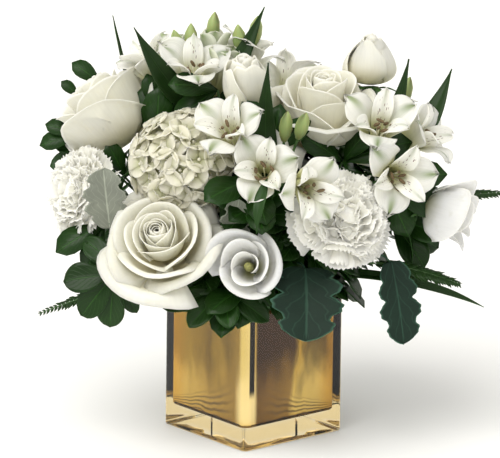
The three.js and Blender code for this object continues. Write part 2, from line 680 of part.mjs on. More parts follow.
/** A spray's stem, its forked stalks, its buds and its leaves. */
function sprayStem({ line, florets, buds, leaves }, grow) {
  const node = line.v3;
  const parts = [tube(line, SPRAY.radius + grow, { sides: 4 })];
  const stalk = (end, axis) => {
    const bend = end.clone().addScaledVector(axis, -SPRAY.arrive);
    const curve = new THREE.QuadraticBezierCurve3(node, bend, end);
    parts.push(tube(curve, SPRAY.stalk + grow, { sides: 4, steps: 2 }));
  };
  for (const { at, axis } of florets) {
    const direction = aimed(axis);
    stalk(shown(at).addScaledVector(direction, -FLORET.depth - SEAT), direction);
  }
  const bud = [[0, -2 - grow], [SPRAY.budRadius + grow, 7], [0, SPRAY.budHeight + grow]];
  for (const { at, axis } of buds) {
    stalk(shown(at), aimed(axis));
    parts.push(moved(turned(bud, 5), frameAt(shown(at), aimed(axis))));
  }
  for (const leaf of leaves) parts.push(blade({ ...leaf, outline: "lance", origin: node }, grow));
  return join(parts);
}

/** A leaf or frond on a stalk of its own. */
function stalkedLeaf(leaf, grow) {
  return join([tube(leaf.line, leaf.stalk + grow, { sides: 4 }), blade(leaf, grow)]);
}

/** A leafy twig: its leaves spring from points along the stem, given as shares of its length. */
function twig({ line, face, leaves }, grow) {
  const parts = leaves.map((leaf) => {
    const { springs, ...shape } = { ...TWIG, face, ...leaf };
    const origin = line.getPoint(springs);
    return blade({ ...shape, outline: "obovate", columns: [-1, 1], origin }, grow);
  });
  return join([tube(line, TWIG.radius + grow, { sides: 4 }), ...parts]);
}

// ---- Placing: every piece keeps out of the rooms of the pieces placed before it ----
const group = new THREE.Group();
const placed = [];

/** How much of a solid lies in the rooms of the pieces placed so far. */
const crowding = (solid) =>
  placed
    .filter(({ room }) => boxesMeet(solid, room))
    .reduce((sum, { room }) => sum + solid.intersect(room).volume(), 0);

/** Where a stem would best enter the foam: low heads near the rim, high heads near the middle. */
function entryOf(head) {
  const level = Math.hypot(head.x, head.y);
  const polar = Math.atan2(level, Math.max(1, head.z - FOAM.top));
  const reach = 6 + 25 * Math.sin(polar) ** 1.5;
  return vector((head.x / level) * reach, (head.y / level) * reach, FOAM.top);
}

/** The line of a stem from inside the foam to the head, arriving along the head's own axis. */
function stemLine(head, axis, entry) {
  const foot = vector(entry.x * 0.8, entry.y * 0.8, FOAM.top - STEM_DEPTH);
  const out = vector(entry.x * 1.15, entry.y * 1.15, FOAM.top + 22);
  return new THREE.CubicBezierCurve3(foot, out, head.clone().addScaledVector(axis, -22), head);
}

/** The clearest line for a stem: its entry moves out in rings from the best one until it is clear. */
function clearLine(head, axis, radius, sides = 4) {
  const entries = [entryOf(head)];
  for (let ring = 5; ring <= 25; ring += 5)
    for (let k = 0; k < 8; k++) {
      const step = vector(ring, 0, 0).applyAxisAngle(UP, (Math.PI / 4) * k);
      entries.push(entries[0].clone().add(step));
    }
  const inFoam = ({ x, y }) => Math.max(Math.abs(x), Math.abs(y)) <= FOAM.side / 2 - FOAM.margin;
  let best = { met: Infinity };
  for (const entry of entries.filter(inFoam)) {
    const line = stemLine(head, axis, entry);
    const met = crowding(tube(line, radius + GAP, { sides }));
    if (met < best.met) best = { met, line };
    if (met === 0) break;
  }
  return best.line;
}

function meshOf(name, solid, colour) {
  const { numVert, numProp, vertProperties, triVerts } = solid.getMesh();
  const positions = new Float32Array(numVert * 3);
  for (let i = 0; i < numVert; i++)
    positions.set(vertProperties.subarray(i * numProp, i * numProp + 3), i * 3);
  const geometry = new THREE.BufferGeometry();
  geometry.setAttribute("position", new THREE.BufferAttribute(positions, 3));
  geometry.setIndex(new THREE.BufferAttribute(triVerts, 1));
  geometry.computeVertexNormals();
  const mesh = new THREE.Mesh(geometry, new THREE.MeshStandardMaterial(COLOURS[colour]));
  mesh.name = name;
  return mesh;
}

/** Adds a piece once what would reach into the room of an earlier one is cut away. */
function settle(name, solid, room, colour, rooted = false) {
  const clear = placed
    .filter((other) => boxesMeet(solid, other.room))
    .reduce((rest, other) => rest.subtract(other.room), solid);
  placed.push({ name, room });
  group.add(meshOf(name, mainBody(clear, rooted), colour));
}

/** Adds a piece that grows from the foam, from a function of its description and the gap. */
const settleRooted = (name, make, spec, colour) =>
  settle(name, make(spec, 0), make(spec, GAP), colour, true);

// ---- Putting it together ----
const inBloom = BLOOMS.map(({ name, kind, radius, height, depth, colour, at, axis, roll, stem }) => {
  const direction = aimed(axis);
  const base = shown(at).addScaledVector(direction, -depth);
  return { name, solid: BLOOM_KINDS[kind]({ radius, height }), colour, direction, base, roll, stem };
});

settle("vase", vaseSolid(), vaseSolid(GAP), "glass");
for (const { name, solid, colour, direction, base, roll } of inBloom) {
  const frame = frameAt(base, direction, roll);
  settle(`${name}_bloom`, moved(solid, frame), moved(roomOf(solid), frame), colour);
}

const floret = alstroemeria(FLORET);
const floretRoom = roomOf(floret);
for (const { name, florets } of SPRAYS)
  florets.forEach(({ at, axis, roll }, k) => {
    const base = shown(at).addScaledVector(aimed(axis), -FLORET.depth);
    const frame = frameAt(base, aimed(axis), roll);
    settle(`${name}_floret_${k + 1}`, moved(floret, frame), moved(floretRoom, frame), "white");
  });

for (const { name, direction, base, roll, stem: kind } of inBloom) {
  const top = base.clone().addScaledVector(direction, -SEAT);
  const line = clearLine(top, direction, STEMS[kind].radius, 5);
  const spec = { frame: frameAt(top, direction, roll), line, kind };
  settleRooted(`${name}_stem`, bloomStem, spec, "stem");
}

for (const spray of SPRAYS) {
  const line = clearLine(shown(spray.fork), UP, SPRAY.radius);
  settleRooted(`${spray.name}_stem`, sprayStem, { ...spray, line }, "stem");
}

function settleLeaf(leaf, colour) {
  const growth = aimed(leaf.grow);
  const origin = shown(leaf.root);
  const line = clearLine(origin.clone().addScaledVector(growth, STALK.tuck), growth, leaf.stalk);
  settleRooted(leaf.name, stalkedLeaf, { ...leaf, origin, line }, colour);
}
for (const leaf of SILVER_LEAVES)
  settleLeaf({ ...leaf, outline: "lobed", stalk: STALK.silver }, "silver");

for (const { name, tip, axis, leaves } of TWIGS) {
  const line = clearLine(shown(tip), aimed(axis), TWIG.radius);
  settleRooted(name, twig, { line, leaves }, "leaf");
}
for (const leaf of FRONDS) settleLeaf({ ...leaf, stalk: STALK.frond }, "leaf");

const foam = foamBlock();
settle("floral_foam", foam, foam, "foam");

export default group;
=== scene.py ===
"""Floral table centerpiece: finer flowers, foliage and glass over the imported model.

The layout is in millimetres and in display coordinates: right, towards the viewer and up. The
arrangement's front lies between +X and -Y. Meshes are made in metres, in the model's own frame.
"""

import math
import random
from typing import NamedTuple

import bpy
import numpy as np
from mathutils import Matrix, Quaternion, Vector


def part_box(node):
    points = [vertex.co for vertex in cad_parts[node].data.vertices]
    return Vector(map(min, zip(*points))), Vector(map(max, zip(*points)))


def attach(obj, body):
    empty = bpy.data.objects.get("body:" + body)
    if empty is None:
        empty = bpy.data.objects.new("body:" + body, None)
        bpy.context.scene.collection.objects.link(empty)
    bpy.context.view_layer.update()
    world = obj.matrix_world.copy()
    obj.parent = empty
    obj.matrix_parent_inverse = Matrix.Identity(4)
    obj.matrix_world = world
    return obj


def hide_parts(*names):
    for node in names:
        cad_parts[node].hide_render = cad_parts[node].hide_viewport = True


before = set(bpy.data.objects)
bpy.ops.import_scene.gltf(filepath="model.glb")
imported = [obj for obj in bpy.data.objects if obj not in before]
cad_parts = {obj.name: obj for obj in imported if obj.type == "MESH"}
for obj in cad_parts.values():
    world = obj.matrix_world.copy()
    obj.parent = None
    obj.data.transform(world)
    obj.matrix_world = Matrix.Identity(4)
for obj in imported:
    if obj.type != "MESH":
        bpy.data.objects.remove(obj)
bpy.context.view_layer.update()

bl_info = {
    "name": "Floral table centerpiece",
    "version": (1, 0, 0),
    "blender": (4, 5, 0),
    "location": "3D View > Sidebar > Centerpiece",
    "description": "Builds a white flower arrangement in a square gold-lined glass vase",
    "category": "Add Mesh",
}

MM = 0.001
GOLDEN_TURN = math.pi * (3 - math.sqrt(5))
FRONT_BEARING = math.radians(50.2)
RIGHT = Vector((math.cos(FRONT_BEARING), math.sin(FRONT_BEARING), 0))
TOWARD = Vector((math.sin(FRONT_BEARING), -math.cos(FRONT_BEARING), 0))
UP = Vector((0, 0, 1))
FOAM_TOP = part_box("floral_foam")[1][2] / MM
STEM_DEPTH = 26  # how far a stem stands in the foam
STEM_GAP = 0.5  # from a stem's end to its bloom
FOOT_SHARE = 0.8  # where a stem's foot stands, as a share of how far out it enters the foam
STEM_RISE = 22  # how far a stem keeps its first and its last direction


# ---- Display coordinates and frames ----
def shown(place):
    right, toward, up = place
    return RIGHT * right + TOWARD * toward + UP * up


def aimed(direction):
    return shown(direction).normalized()


def frame_at(origin, axis, roll=0):
    """A frame with +Z along the axis and +X level, then rolled about the axis."""
    level = UP.cross(axis)
    level = level.normalized() if level.length > 1e-3 else RIGHT.copy()
    turned = Matrix((level, axis.cross(level), axis)).transposed().to_4x4()
    return Matrix.Translation(origin) @ turned @ Matrix.Rotation(roll, 4, "Z")


def blade_frame(origin, growth, face):
    """A frame with +Z along a blade's growth and +Y out of its upper face."""
    upper = (face - growth * face.dot(growth)).normalized()
    across = upper.cross(growth)
    return Matrix.Translation(origin) @ Matrix((across, upper, growth)).transposed().to_4x4()


# ---- The layout, as in the solids ----
class Bloom(NamedTuple):
    """A flower: its size, the depth from its face to its base, and where its face is and looks."""

    kind: str
    radius: float
    height: float
    depth: float
    at: tuple
    axis: tuple
    roll: float = 0

    def way(self):
        return aimed(self.axis)

    def base(self):
        return shown(self.at) - self.way() * self.depth

    def place(self):
        return frame_at(self.base(), self.way(), self.roll)


def floret(at, axis, roll):
    return Bloom("floret", 27, 40, 30, at, axis, roll)


class Blade(NamedTuple):
    """A leaf: the ways it grows and faces, its size, its arch and how far it sways sideways."""

    grow: tuple
    face: tuple
    length: float
    width: float
    bend: float
    sway: float = 0


class Spray(NamedTuple):
    """An alstroemeria: where its stem forks, its flowers, its (root, axis) buds and its leaves."""

    fork: tuple
    florets: tuple
    buds: tuple
    leaves: tuple
    closed: tuple = ()


BLOOMS = {
    "rose_front": Bloom("rose", 42, 42, 30, (-69, 74, 165), (-0.2, 0.7, 0.68), 2.2),
    "rose_left": Bloom("rose", 39, 60, 48, (-118, -42, 238), (-0.6, -0.2, 0.77), 0.4),
    "rose_top": Bloom("rose", 43, 57, 45, (48, 2, 256), (0.03, 0.2, 0.98), 1.1),
    "rose_back": Bloom("rose", 39, 41, 30, (-38, -84, 190), (-0.25, -0.8, 0.5), 0.9),
    "rosebud_top": Bloom("bud", 18, 42, 20, (-8, 13, 261), (-0.12, 0.12, 0.98), 0.5),
    "rosebud_right": Bloom("bud", 23, 38, 18, (82, -34, 266), (0.0, -0.2, 0.98), 2.0),
    "lisianthus_front": Bloom("lisianthus", 25, 32, 22, (-5, 88, 146), (-0.12, 0.93, 0.35), 0.3),
    "lisianthus_right": Bloom("lisianthus", 24, 42, 22, (140, 20, 167), (0.9, 0.1, -0.2), 0.8),
    "carnation_front": Bloom("carnation", 42, 42, 22, (62, 64, 175), (0.3, 0.75, 0.58), 0.2),
    "carnation_left": Bloom("carnation", 38, 39, 19, (-123, 2, 175), (-0.85, 0.45, 0.3), 0.6),
    "carnation_back": Bloom("carnation", 37, 38, 20, (78, -78, 180), (0.5, -0.75, 0.45), 0.6),
    "hydrangea": Bloom("hydrangea", 40, 80, 40, (-50, 24, 203), (-0.15, 0.5, 0.85)),
}
ROSE_SPREAD = {"rose_left": 0.5}  # the others' outer petals are spread by 1
BUD_SHAPES = {"rosebud_top": (0.55, 0), "rosebud_right": (0.2, 1)}  # the mouth's width, and the taper
SPRAYS = {
    "alstroemeria_left": Spray(
        fork=(-38, -24, 224),
        florets=(
            floret((-46, -12, 265), (0.05, 0.35, 0.9), 0.4),
            floret((-78, -44, 262), (-0.5, 0, 0.85), 0.2),
            floret((-9, -52, 265), (0.35, -0.3, 0.88), 0.1),
        ),
        closed=(
            floret((-62, -42, 266), (-0.15, -0.1, 1), 0.5),
            floret((-32, -46, 270), (0.05, -0.2, 1), 0.9),
            floret((-24, -26, 262), (0.3, 0.15, 0.95), 0.2),
        ),
        buds=(
            ((-48, -40, 268), (0, -0.2, 1)),
            ((-55, -34, 266), (-0.25, 0, 1)),
            ((-33, -52, 274), (0.1, -0.1, 1)),
            ((-3, -44, 274), (0.15, 0, 1)),
            ((-12, -40, 270), (-0.1, 0.2, 0.95)),
        ),
        leaves=(
            Blade((-0.5, 0.4, 0.78), (0.1, 1, 0.2), 94, 17, 0.25, 4),
            Blade((0.44, -0.1, 0.87), (-0.3, 1, 0.2), 92, 15, 0.15, -3),
        ),
    ),
    "alstroemeria_front": Spray(
        fork=(12, 34, 178),
        florets=(
            floret((-20, 66, 241), (-0.25, 0.6, 0.72), 0.5),
            floret((5, 80, 215), (-0.06, 0.85, 0.45), 0.2),
            floret((38, 100, 207), (0.42, 0.87, 0.04), 0.9),
        ),
        buds=(((30, 52, 232), (0.25, 0.3, 0.9)), ((20, 45, 228), (0.1, 0.1, 1))),
        leaves=(Blade((-0.05, 0.05, 1), (-0.2, 1, 0.2), 104, 17, 0.1, 3),),
    ),
    "alstroemeria_right": Spray(
        fork=(84, 6, 190),
        florets=(
            floret((88, 36, 238), (0.15, 0.6, 0.75), 0.3),
            floret((121, 12, 223), (0.85, 0.2, 0.5), 0.5),
            floret((101, 52, 205), (0.3, 0.9, 0.15), 0.1),
        ),
        buds=(((104, -14, 238), (0.3, -0.2, 1)),),
        leaves=(
            Blade((0.25, -0.07, 0.97), (-0.5, 0.8, 0.2), 90, 16, 0.1, -4),
            Blade((0.6, -0.41, 0.66), (-0.4, 0.7, 0.6), 98, 22, -0.2, -9),
        ),
    ),
    "alstroemeria_back": Spray(
        fork=(24, -52, 190),
        florets=(
            floret((22, -84, 238), (0.1, -0.65, 0.75), 0.5),
            floret((36, -114, 200), (0.15, -0.9, 0.3), 0.2),
        ),
        buds=(((0, -72, 232), (-0.1, -0.4, 0.9)),),
        leaves=(
            Blade((-0.45, -0.3, 0.85), (0, -0.8, 0.4), 72, 17, 0.3),
            Blade((0.5, -0.6, 0.5), (0, -0.6, 0.7), 80, 16, 0.4),
        ),
    ),
}
# The narrow leaf that hangs in front of one spray, and the leaves on stalks of their own: (root, blade).
BRACTS = {"alstroemeria_front": ((8, 86, 210), Blade((-0.3, 0.8, -0.5), (-0.2, 0.5, 0.8), 42, 9, 1.0))}
SILVER_LEAVES = {
    "dusty_miller_left": ((-104, 42, 160), Blade((-0.12, 0.15, 0.97), (-0.25, 0.95, 0), 46, 34, 0.1)),
    "dusty_miller_low": ((36, 64, 138), Blade((0.05, 0.8, -0.3), (0.1, 0.5, 0.8), 62, 54, 0.8)),
    "dusty_miller_right": ((98, 44, 138), Blade((0.2, 0.3, -0.9), (0.3, 0.9, 0.3), 60, 32, 0.3)),
    "dusty_miller_mid": ((-16, 56, 152), Blade((0.1, 0.3, 0.9), (0, 0.9, -0.2), 38, 24, 0.2)),
    "dusty_miller_back": ((-10, -60, 140), Blade((-0.1, -0.85, 0.1), (0, 0.4, 0.9), 70, 42, 0.9)),
}
PALE_LEAVES = ("dusty_miller_left", "dusty_miller_mid")
FERNS = {
    "fern_right": ((82, 32, 134), Blade((0.95, 0.15, -0.05), (0, 0.4, 0.9), 68, 22, 0.35)),
    "fern_far_right": ((94, -32, 158), Blade((0.95, 0.05, 0.2), (0, 0.4, 0.9), 84, 24, 0.15)),
    "fern_left": ((-72, 20, 117), Blade((-0.95, 0.15, -0.2), (0, 0.6, 0.8), 88, 15, 0.25)),
}
GRASSES = {
    "grass_right": ((70, 20, 122), Blade((0.92, 0.05, -0.04), (-0.1, 0.7, 0.75), 104, 9, 0.7)),
    "grass_left": ((-84, -70, 206), Blade((-0.28, 0.12, 0.95), (0.6, 0.7, 0.2), 90, 5, -0.15)),
}


def twig(tip, axis, face, *leaves, length=40, width=18):
    """A twig's tip, axis and leaves. Each leaf is its way, or (way, length, width, where it springs)."""
    usual = (None, length, width, 0.97)
    rows = [leaf if isinstance(leaf[0], tuple) else (leaf,) for leaf in leaves]
    rows = [(*row, *usual[len(row) :]) for row in rows]
    return tip, axis, [(springs, Blade(way, face, long, wide, 0.45)) for way, long, wide, springs in rows]


TWIGS = {
    "pittosporum_low_left": twig(
        (-102, 50, 127),
        (-0.8, 0.5, -0.1),
        (-0.1, 0.85, 0.5),
        ((-0.97, 0.1, -0.05), 38, 23),
        ((-0.65, 0.15, -0.72), 40, 22),
        ((-0.12, 0.2, -0.95), 40, 21),
        ((0.5, 0.3, -0.8), 32, 13),
        ((-0.8, -0.3, 0.6), 40, 18, 0.86),
    ),
    "pittosporum_front": twig(
        (-22, 62, 119),
        (-0.2, 0.95, -0.2),
        (0, 0.7, 0.7),
        ((-0.97, 0.25, -0.12), 46),
        (-0.6, 0.7, -0.35),
        ((0.1, 0.9, -0.4), 34),
        (0.8, 0.55, -0.3),
        ((1, 0, 0.05), 40, 18, 0.88),
    ),
    "pittosporum_left": twig(
        (-112, -42, 190),
        (-0.9, -0.3, 0.3),
        (-0.2, 0.8, 0.55),
        (-0.9, 0.1, 0.4),
        (-0.95, 0.3, 0.0),
        ((-0.6, -0.5, 0.75), 46),
        (-0.6, -0.8, 0.1),
    ),
    "pittosporum_right": twig(
        (100, 6, 158),
        (0.85, 0.45, 0.2),
        (0.2, 0.85, 0.4),
        (0.75, 0.2, 0.6),
        (0.9, 0.4, -0.05),
        (0.6, 0.55, -0.6),
        (0.1, 0.6, 0.75),
        (0.95, 0.0, -0.5),
        length=42,
        width=22,
    ),
    "pittosporum_back_left": twig(
        (-88, -62, 140),
        (-0.7, -0.7, 0.0),
        (0, 0, 1),
        (-1, -0.2, 0.1),
        (-0.7, -0.7, -0.4),
        (-0.2, -0.95, -0.1),
        (-0.6, -0.6, 0.6),
        (-0.8, 0.3, -0.4),
    ),
    "pittosporum_back_right": twig(
        (66, -62, 128),
        (0.7, -0.7, -0.1),
        (0, 0, 1),
        (1, -0.2, 0.1),
        (0.7, -0.7, -0.4),
        (0.2, -0.95, -0.1),
        (-0.5, -0.8, -0.2),
        (0.9, 0.3, -0.3),
    ),
}
SPRIGS = (  # each sprig's tip, the size of its leaves and the ways they grow
    ((-112, -62, 238), 0.62, ((-0.75, 0, 0.65),)),
    ((-128, -60, 229), 0.5, ((-0.7, 0, 0.7),)),
    ((-128, -40, 206), 0.7, ((-0.92, 0, 0.4), (-0.9, 0.2, -0.1))),
    ((-70, -26, 228), 0.8, ((-0.3, 0.1, 0.95), (0.2, 0.1, 1))),
    ((-94, -14, 182), 0.75, ((-0.3, 0.2, 0.7), (0.4, 0.2, 0.8), (0, 0.3, 0.2), (-0.5, 0.3, -0.5))),
    ((-72, -20, 205), 1.1, ((-0.2, 0, 1), (0.3, 0.1, 0.9), (0, 0.3, 0.9))),
    ((-28, -8, 250), 0.95, ((-0.85, 0.3, -0.45), (-0.5, 0.3, 0.2))),
    ((12, 30, 215), 1, ((0.1, 0, 1), (-0.4, 0.2, 0.8), (0.6, 0.2, 0.7))),
    ((62, 20, 205), 1.15, ((0.9, 0.2, 0.45), (0.5, 0.3, 0.85), (-0.6, 0.4, 0.6))),
    ((92, 20, 190), 1.1, ((0.8, 0.3, 0.3), (0.9, 0.3, -0.3), (0.4, 0.5, -0.7))),
    ((0, 44, 172), 1, ((-0.6, 0.3, 0.6), (0.5, 0.4, 0.7), (0.1, 0.6, 0.75), (0.7, 0.5, 0.2))),
    ((-108, 18, 156), 0.9, ((-0.4, 0.4, -0.8), (-0.8, 0.3, -0.3))),
    ((-60, 10, 150), 1, ((-0.8, 0.4, 0.3), (-0.5, 0.5, -0.5))),
)
SPRIG_FACE = (-0.1, 0.75, 0.6)
STALKS = {
    "rose": dict(radius=2.6, cup=(6.5, 8), sepals=5, reach=24, droop=-7),
    "bud": dict(radius=2.6, cup=(6.5, 8), sepals=5, reach=24, droop=-7),
    "lisianthus": dict(radius=1.8, cup=(4.5, 6), sepals=5, reach=19, droop=-4),
    "carnation": dict(radius=2, cup=(5.5, 24), sepals=0),
    "hydrangea": dict(radius=3.4, cup=(4.6, 8), sepals=0),
}


# ---- Meshes ----
def smooth(edge, other, x):
    t = np.clip((x - edge) / (other - edge), 0, 1)
    return t * t * (3 - 2 * t)


def cell_faces(index, after):
    """Faces between the rows of a grid of point numbers and the numbers beside them."""
    return np.stack([index[:-1], after[:-1], after[1:], index[1:]], -1).reshape(-1, 4)


class Surfaces:
    """Closed solids gathered into one mesh. Each point has a tone, and an under mark on lower faces."""

    def __init__(self):
        self.points, self.faces, self.uvs = [], [], []
        self.tones, self.unders, self.slots = [], [], []
        self.total = 0

    def add(self, points, faces, uvs, place, tone, under, slot):
        place = place or Matrix()
        placed = points @ np.array(place.to_3x3()).T + np.array(place.translation)
        self.points.append(placed * MM)
        self.faces.append(faces + self.total)
        self.uvs.append(uvs)
        self.tones.append(np.full(len(points), tone))
        self.unders.append(under)
        self.slots.append(np.full(len(faces), slot))
        self.total += len(points)

    def sheet(self, grid, thickness, place=None, tone=0.5, slot=0):
        """A thin closed sheet over a grid of points: rows along +v, columns along +u."""
        rows, cols = grid.shape[:2]
        normal = np.cross(np.gradient(grid, axis=1), np.gradient(grid, axis=0))
        normal /= np.maximum(np.linalg.norm(normal, axis=2, keepdims=True), 1e-9)
        step = normal * np.asarray(thickness).reshape(-1, 1, 1) / 2
        points = np.concatenate([(grid + step).reshape(-1, 3), (grid - step).reshape(-1, 3)])
        index = np.arange(rows * cols).reshape(rows, cols)
        front = cell_faces(index[:, :-1], index[:, 1:])
        edge = np.concatenate([index[0], index[1:, -1], index[-1, -2::-1], index[-2:0:-1, 0]])
        after = np.roll(edge, -1)
        back = rows * cols
        rim = np.stack([after, edge, edge + back, after + back], -1)
        u, v = np.meshgrid(np.linspace(0, 1, cols), np.linspace(0, 1, rows))
        uvs = np.tile(np.stack([u, v], -1).reshape(-1, 2), (2, 1))
        under = np.concatenate([np.zeros(back), np.ones(back)])
        self.add(points, np.concatenate([front, front[:, ::-1] + back, rim]), uvs, place, tone, under, slot)

    def tower(self, rings, place=None, tone=0.5, slot=0):
        """A closed solid through rings of points that turn about +Z, from the first to the last."""
        count = len(rings[0])
        index = np.arange(len(rings) * count).reshape(-1, count)
        turn = np.tile(np.linspace(0, 1, count, endpoint=False), len(rings))
        uvs = np.stack([turn, np.repeat(np.linspace(0, 1, len(rings)), count)], -1)
        caps = np.stack([index[0][::-1], index[-1]]) + self.total
        sides = cell_faces(index, np.roll(index, -1, axis=1))
        self.add(np.concatenate(rings), sides, uvs, place, tone, np.zeros(len(uvs)), slot)
        self.faces.append(caps)
        self.slots.append(np.full(2, slot))

    def lathe(self, profile, sides, place=None, tone=0.5, slot=0):
        """A turned solid about +Z, from (radius, height) pairs."""
        turn = np.linspace(0, 2 * math.pi, sides, endpoint=False)
        rings = [(r * np.cos(turn), r * np.sin(turn), np.full(sides, z)) for r, z in profile]
        self.tower([np.stack(ring, -1) for ring in rings], place, tone, slot)

    def object(self, name, *materials):
        """The finished object, at the origin and shaded smooth."""
        points = np.concatenate(self.points)
        faces = [face for group in self.faces for face in group.tolist()]
        mesh = bpy.data.meshes.new(name)
        mesh.from_pydata(points.tolist(), [], faces)
        corners = np.zeros(len(mesh.loops), dtype=np.int32)
        mesh.loops.foreach_get("vertex_index", corners)
        mesh.uv_layers.new(name="UVMap").data.foreach_set("uv", np.concatenate(self.uvs)[corners].ravel())
        for label, values in (("tone", self.tones), ("under", self.unders)):
            mesh.attributes.new(label, "FLOAT", "POINT").data.foreach_set("value", np.concatenate(values))
        for material in materials:
            mesh.materials.append(material)
        mesh.polygons.foreach_set("material_index", np.concatenate(self.slots).astype(np.int32))
        mesh.shade_smooth()
        return linked(name, mesh)


def linked(name, data):
    """A new object in the scene."""
    made = bpy.data.objects.new(name, data)
    bpy.context.scene.collection.objects.link(made)
    return made


def settle(piece, slot, *nodes):
    """Hangs a finished piece under the root body, and hides the solids that it stands for. Its slot is not
    used.
    """
    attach(piece, "root")
    if nodes:
        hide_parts(*nodes)


# ---- Node trees ----
class Wiring:
    """Adds nodes to a tree. An input is given as a value, or as the socket that feeds it."""

    def __init__(self, tree):
        self.tree = tree

    def feed(self, socket, value):
        if isinstance(value, bpy.types.NodeSocket):
            self.tree.links.new(value, socket)
        else:
            socket.default_value = value

    def add(self, kind, inputs=None, **settings):
        node = self.tree.nodes.new(kind)
        for key, value in settings.items():
            setattr(node, key, value)
        for key, value in (inputs or {}).items():
            self.feed(node.inputs[key], value)
        return node

    def math(self, operation, *values, clamp=False):
        inputs = dict(enumerate(values))
        return self.add("ShaderNodeMath", inputs, operation=operation, use_clamp=clamp).outputs[0]

    def times(self, first, second):
        return self.math("MULTIPLY", first, second)

    def plus(self, first, second):
        return self.math("ADD", first, second)

    def minus(self, first, second):
        return self.math("SUBTRACT", first, second)

    def apart(self, first, second):
        return self.math("ABSOLUTE", self.minus(first, second))

    def rise(self, value, low, high):
        """0 up to the low value, 1 from the high one, and smooth between."""
        inputs = {"Value": value, "From Min": low, "From Max": high}
        return self.add("ShaderNodeMapRange", inputs, interpolation_type="SMOOTHSTEP").outputs[0]

    def fall(self, value, low, high):
        return self.minus(1.0, self.rise(value, low, high))

    def blend(self, share, first, second, mode="MIX"):
        inputs = {"Factor": share, "A": first, "B": second}
        mix = self.add("ShaderNodeMix", data_type="RGBA", blend_type=mode)
        for socket in mix.inputs:
            if socket.enabled and socket.name in inputs:
                self.feed(socket, inputs[socket.name])
        return next(socket for socket in mix.outputs if socket.enabled)

    def shaded(self, colour, shade):
        """A colour times a grey shade."""
        grey = self.add("ShaderNodeCombineColor", dict.fromkeys(range(3), shade)).outputs[0]
        return self.blend(1.0, colour, grey, "MULTIPLY")

    def vector(self, x, y, z):
        return self.add("ShaderNodeCombineXYZ", {"X": x, "Y": y, "Z": z}).outputs[0]

    def position(self):
        """The object coordinates, and the same split into X, Y and Z."""
        place = self.add("ShaderNodeTexCoord").outputs["Object"]
        return place, self.add("ShaderNodeSeparateXYZ", {"Vector": place}).outputs

    def noise(self, place, scale, detail):
        inputs = {"Vector": place, "Scale": scale, "Detail": detail}
        return self.add("ShaderNodeTexNoise", inputs).outputs["Fac"]

    def mottling(self, scale, detail=4.0):
        return self.noise(self.add("ShaderNodeTexCoord").outputs["Object"], scale, detail)

    def attribute(self, name):
        return self.add("ShaderNodeAttribute", attribute_name=name).outputs["Fac"]

    def named(self, name, kind="FLOAT"):
        """What the points of a geometry carry under a name."""
        node = self.add("GeometryNodeInputNamedAttribute", {"Name": name}, data_type=kind)
        return node.outputs["Attribute"]

    def deliver_mesh(self, geometry):
        """Ends a geometry tree in real meshes with the given material."""
        real = self.add("GeometryNodeRealizeInstances", {"Geometry": geometry}).outputs[0]
        inputs = {"Geometry": real, "Material": self.given["Material"]}
        self.tree.links.new(self.add("GeometryNodeSetMaterial", inputs).outputs[0], self.out["Geometry"])
        return self.tree

    def deliver_surface(self, colour, roughness, height):
        """Ends a surface group."""
        for label, socket in (("Color", colour), ("Roughness", roughness), ("Height", height)):
            self.tree.links.new(socket, self.out[label])
        return self.tree


def new_tree(name, kind, inputs, outputs):
    """The wiring of a new node group. Its inputs are (name, type, default), its outputs (name, type)."""
    tree = bpy.data.node_groups.new(name, kind)
    for label, socket, default in inputs:
        made = tree.interface.new_socket(label, in_out="INPUT", socket_type=socket)
        if default is not None:
            made.default_value = default
    for label, socket in outputs:
        tree.interface.new_socket(label, in_out="OUTPUT", socket_type=socket)
    w = Wiring(tree)
    w.given = tree.nodes.new("NodeGroupInput").outputs
    w.out = tree.nodes.new("NodeGroupOutput").inputs
    return w


TREES = {}


def shared_tree(make):
    """A tree that is made once and then shared."""
    if make not in TREES:
        TREES[make] = make()
    return TREES[make]


# ---- Geometry Nodes ----
GEOMETRY = "NodeSocketGeometry"


def new_geometry_tree(name, *inputs):
    """The wiring of a geometry tree, which has a material besides its own inputs."""
    inputs = (*inputs, ("Material", "NodeSocketMaterial", None))
    return new_tree(name, "GeometryNodeTree", inputs, [("Geometry", GEOMETRY)])


def stalk_tree():
    """Round stalks along the edges of a mesh, each as thick as its points' girth."""
    w = new_geometry_tree("stalks_along_paths", ("Paths", GEOMETRY, None), ("Sides", "NodeSocketInt", 10))
    curve = w.add("GeometryNodeMeshToCurve", {"Mesh": w.given["Paths"]}).outputs[0]
    girth = w.named("girth")
    ring = w.add("GeometryNodeCurvePrimitiveCircle", {"Resolution": w.given["Sides"], "Radius": 1.0})
    sweep = {"Curve": curve, "Profile Curve": ring.outputs["Curve"], "Scale": girth, "Fill Caps": True}
    return w.deliver_mesh(w.add("GeometryNodeCurveToMesh", sweep).outputs[0])


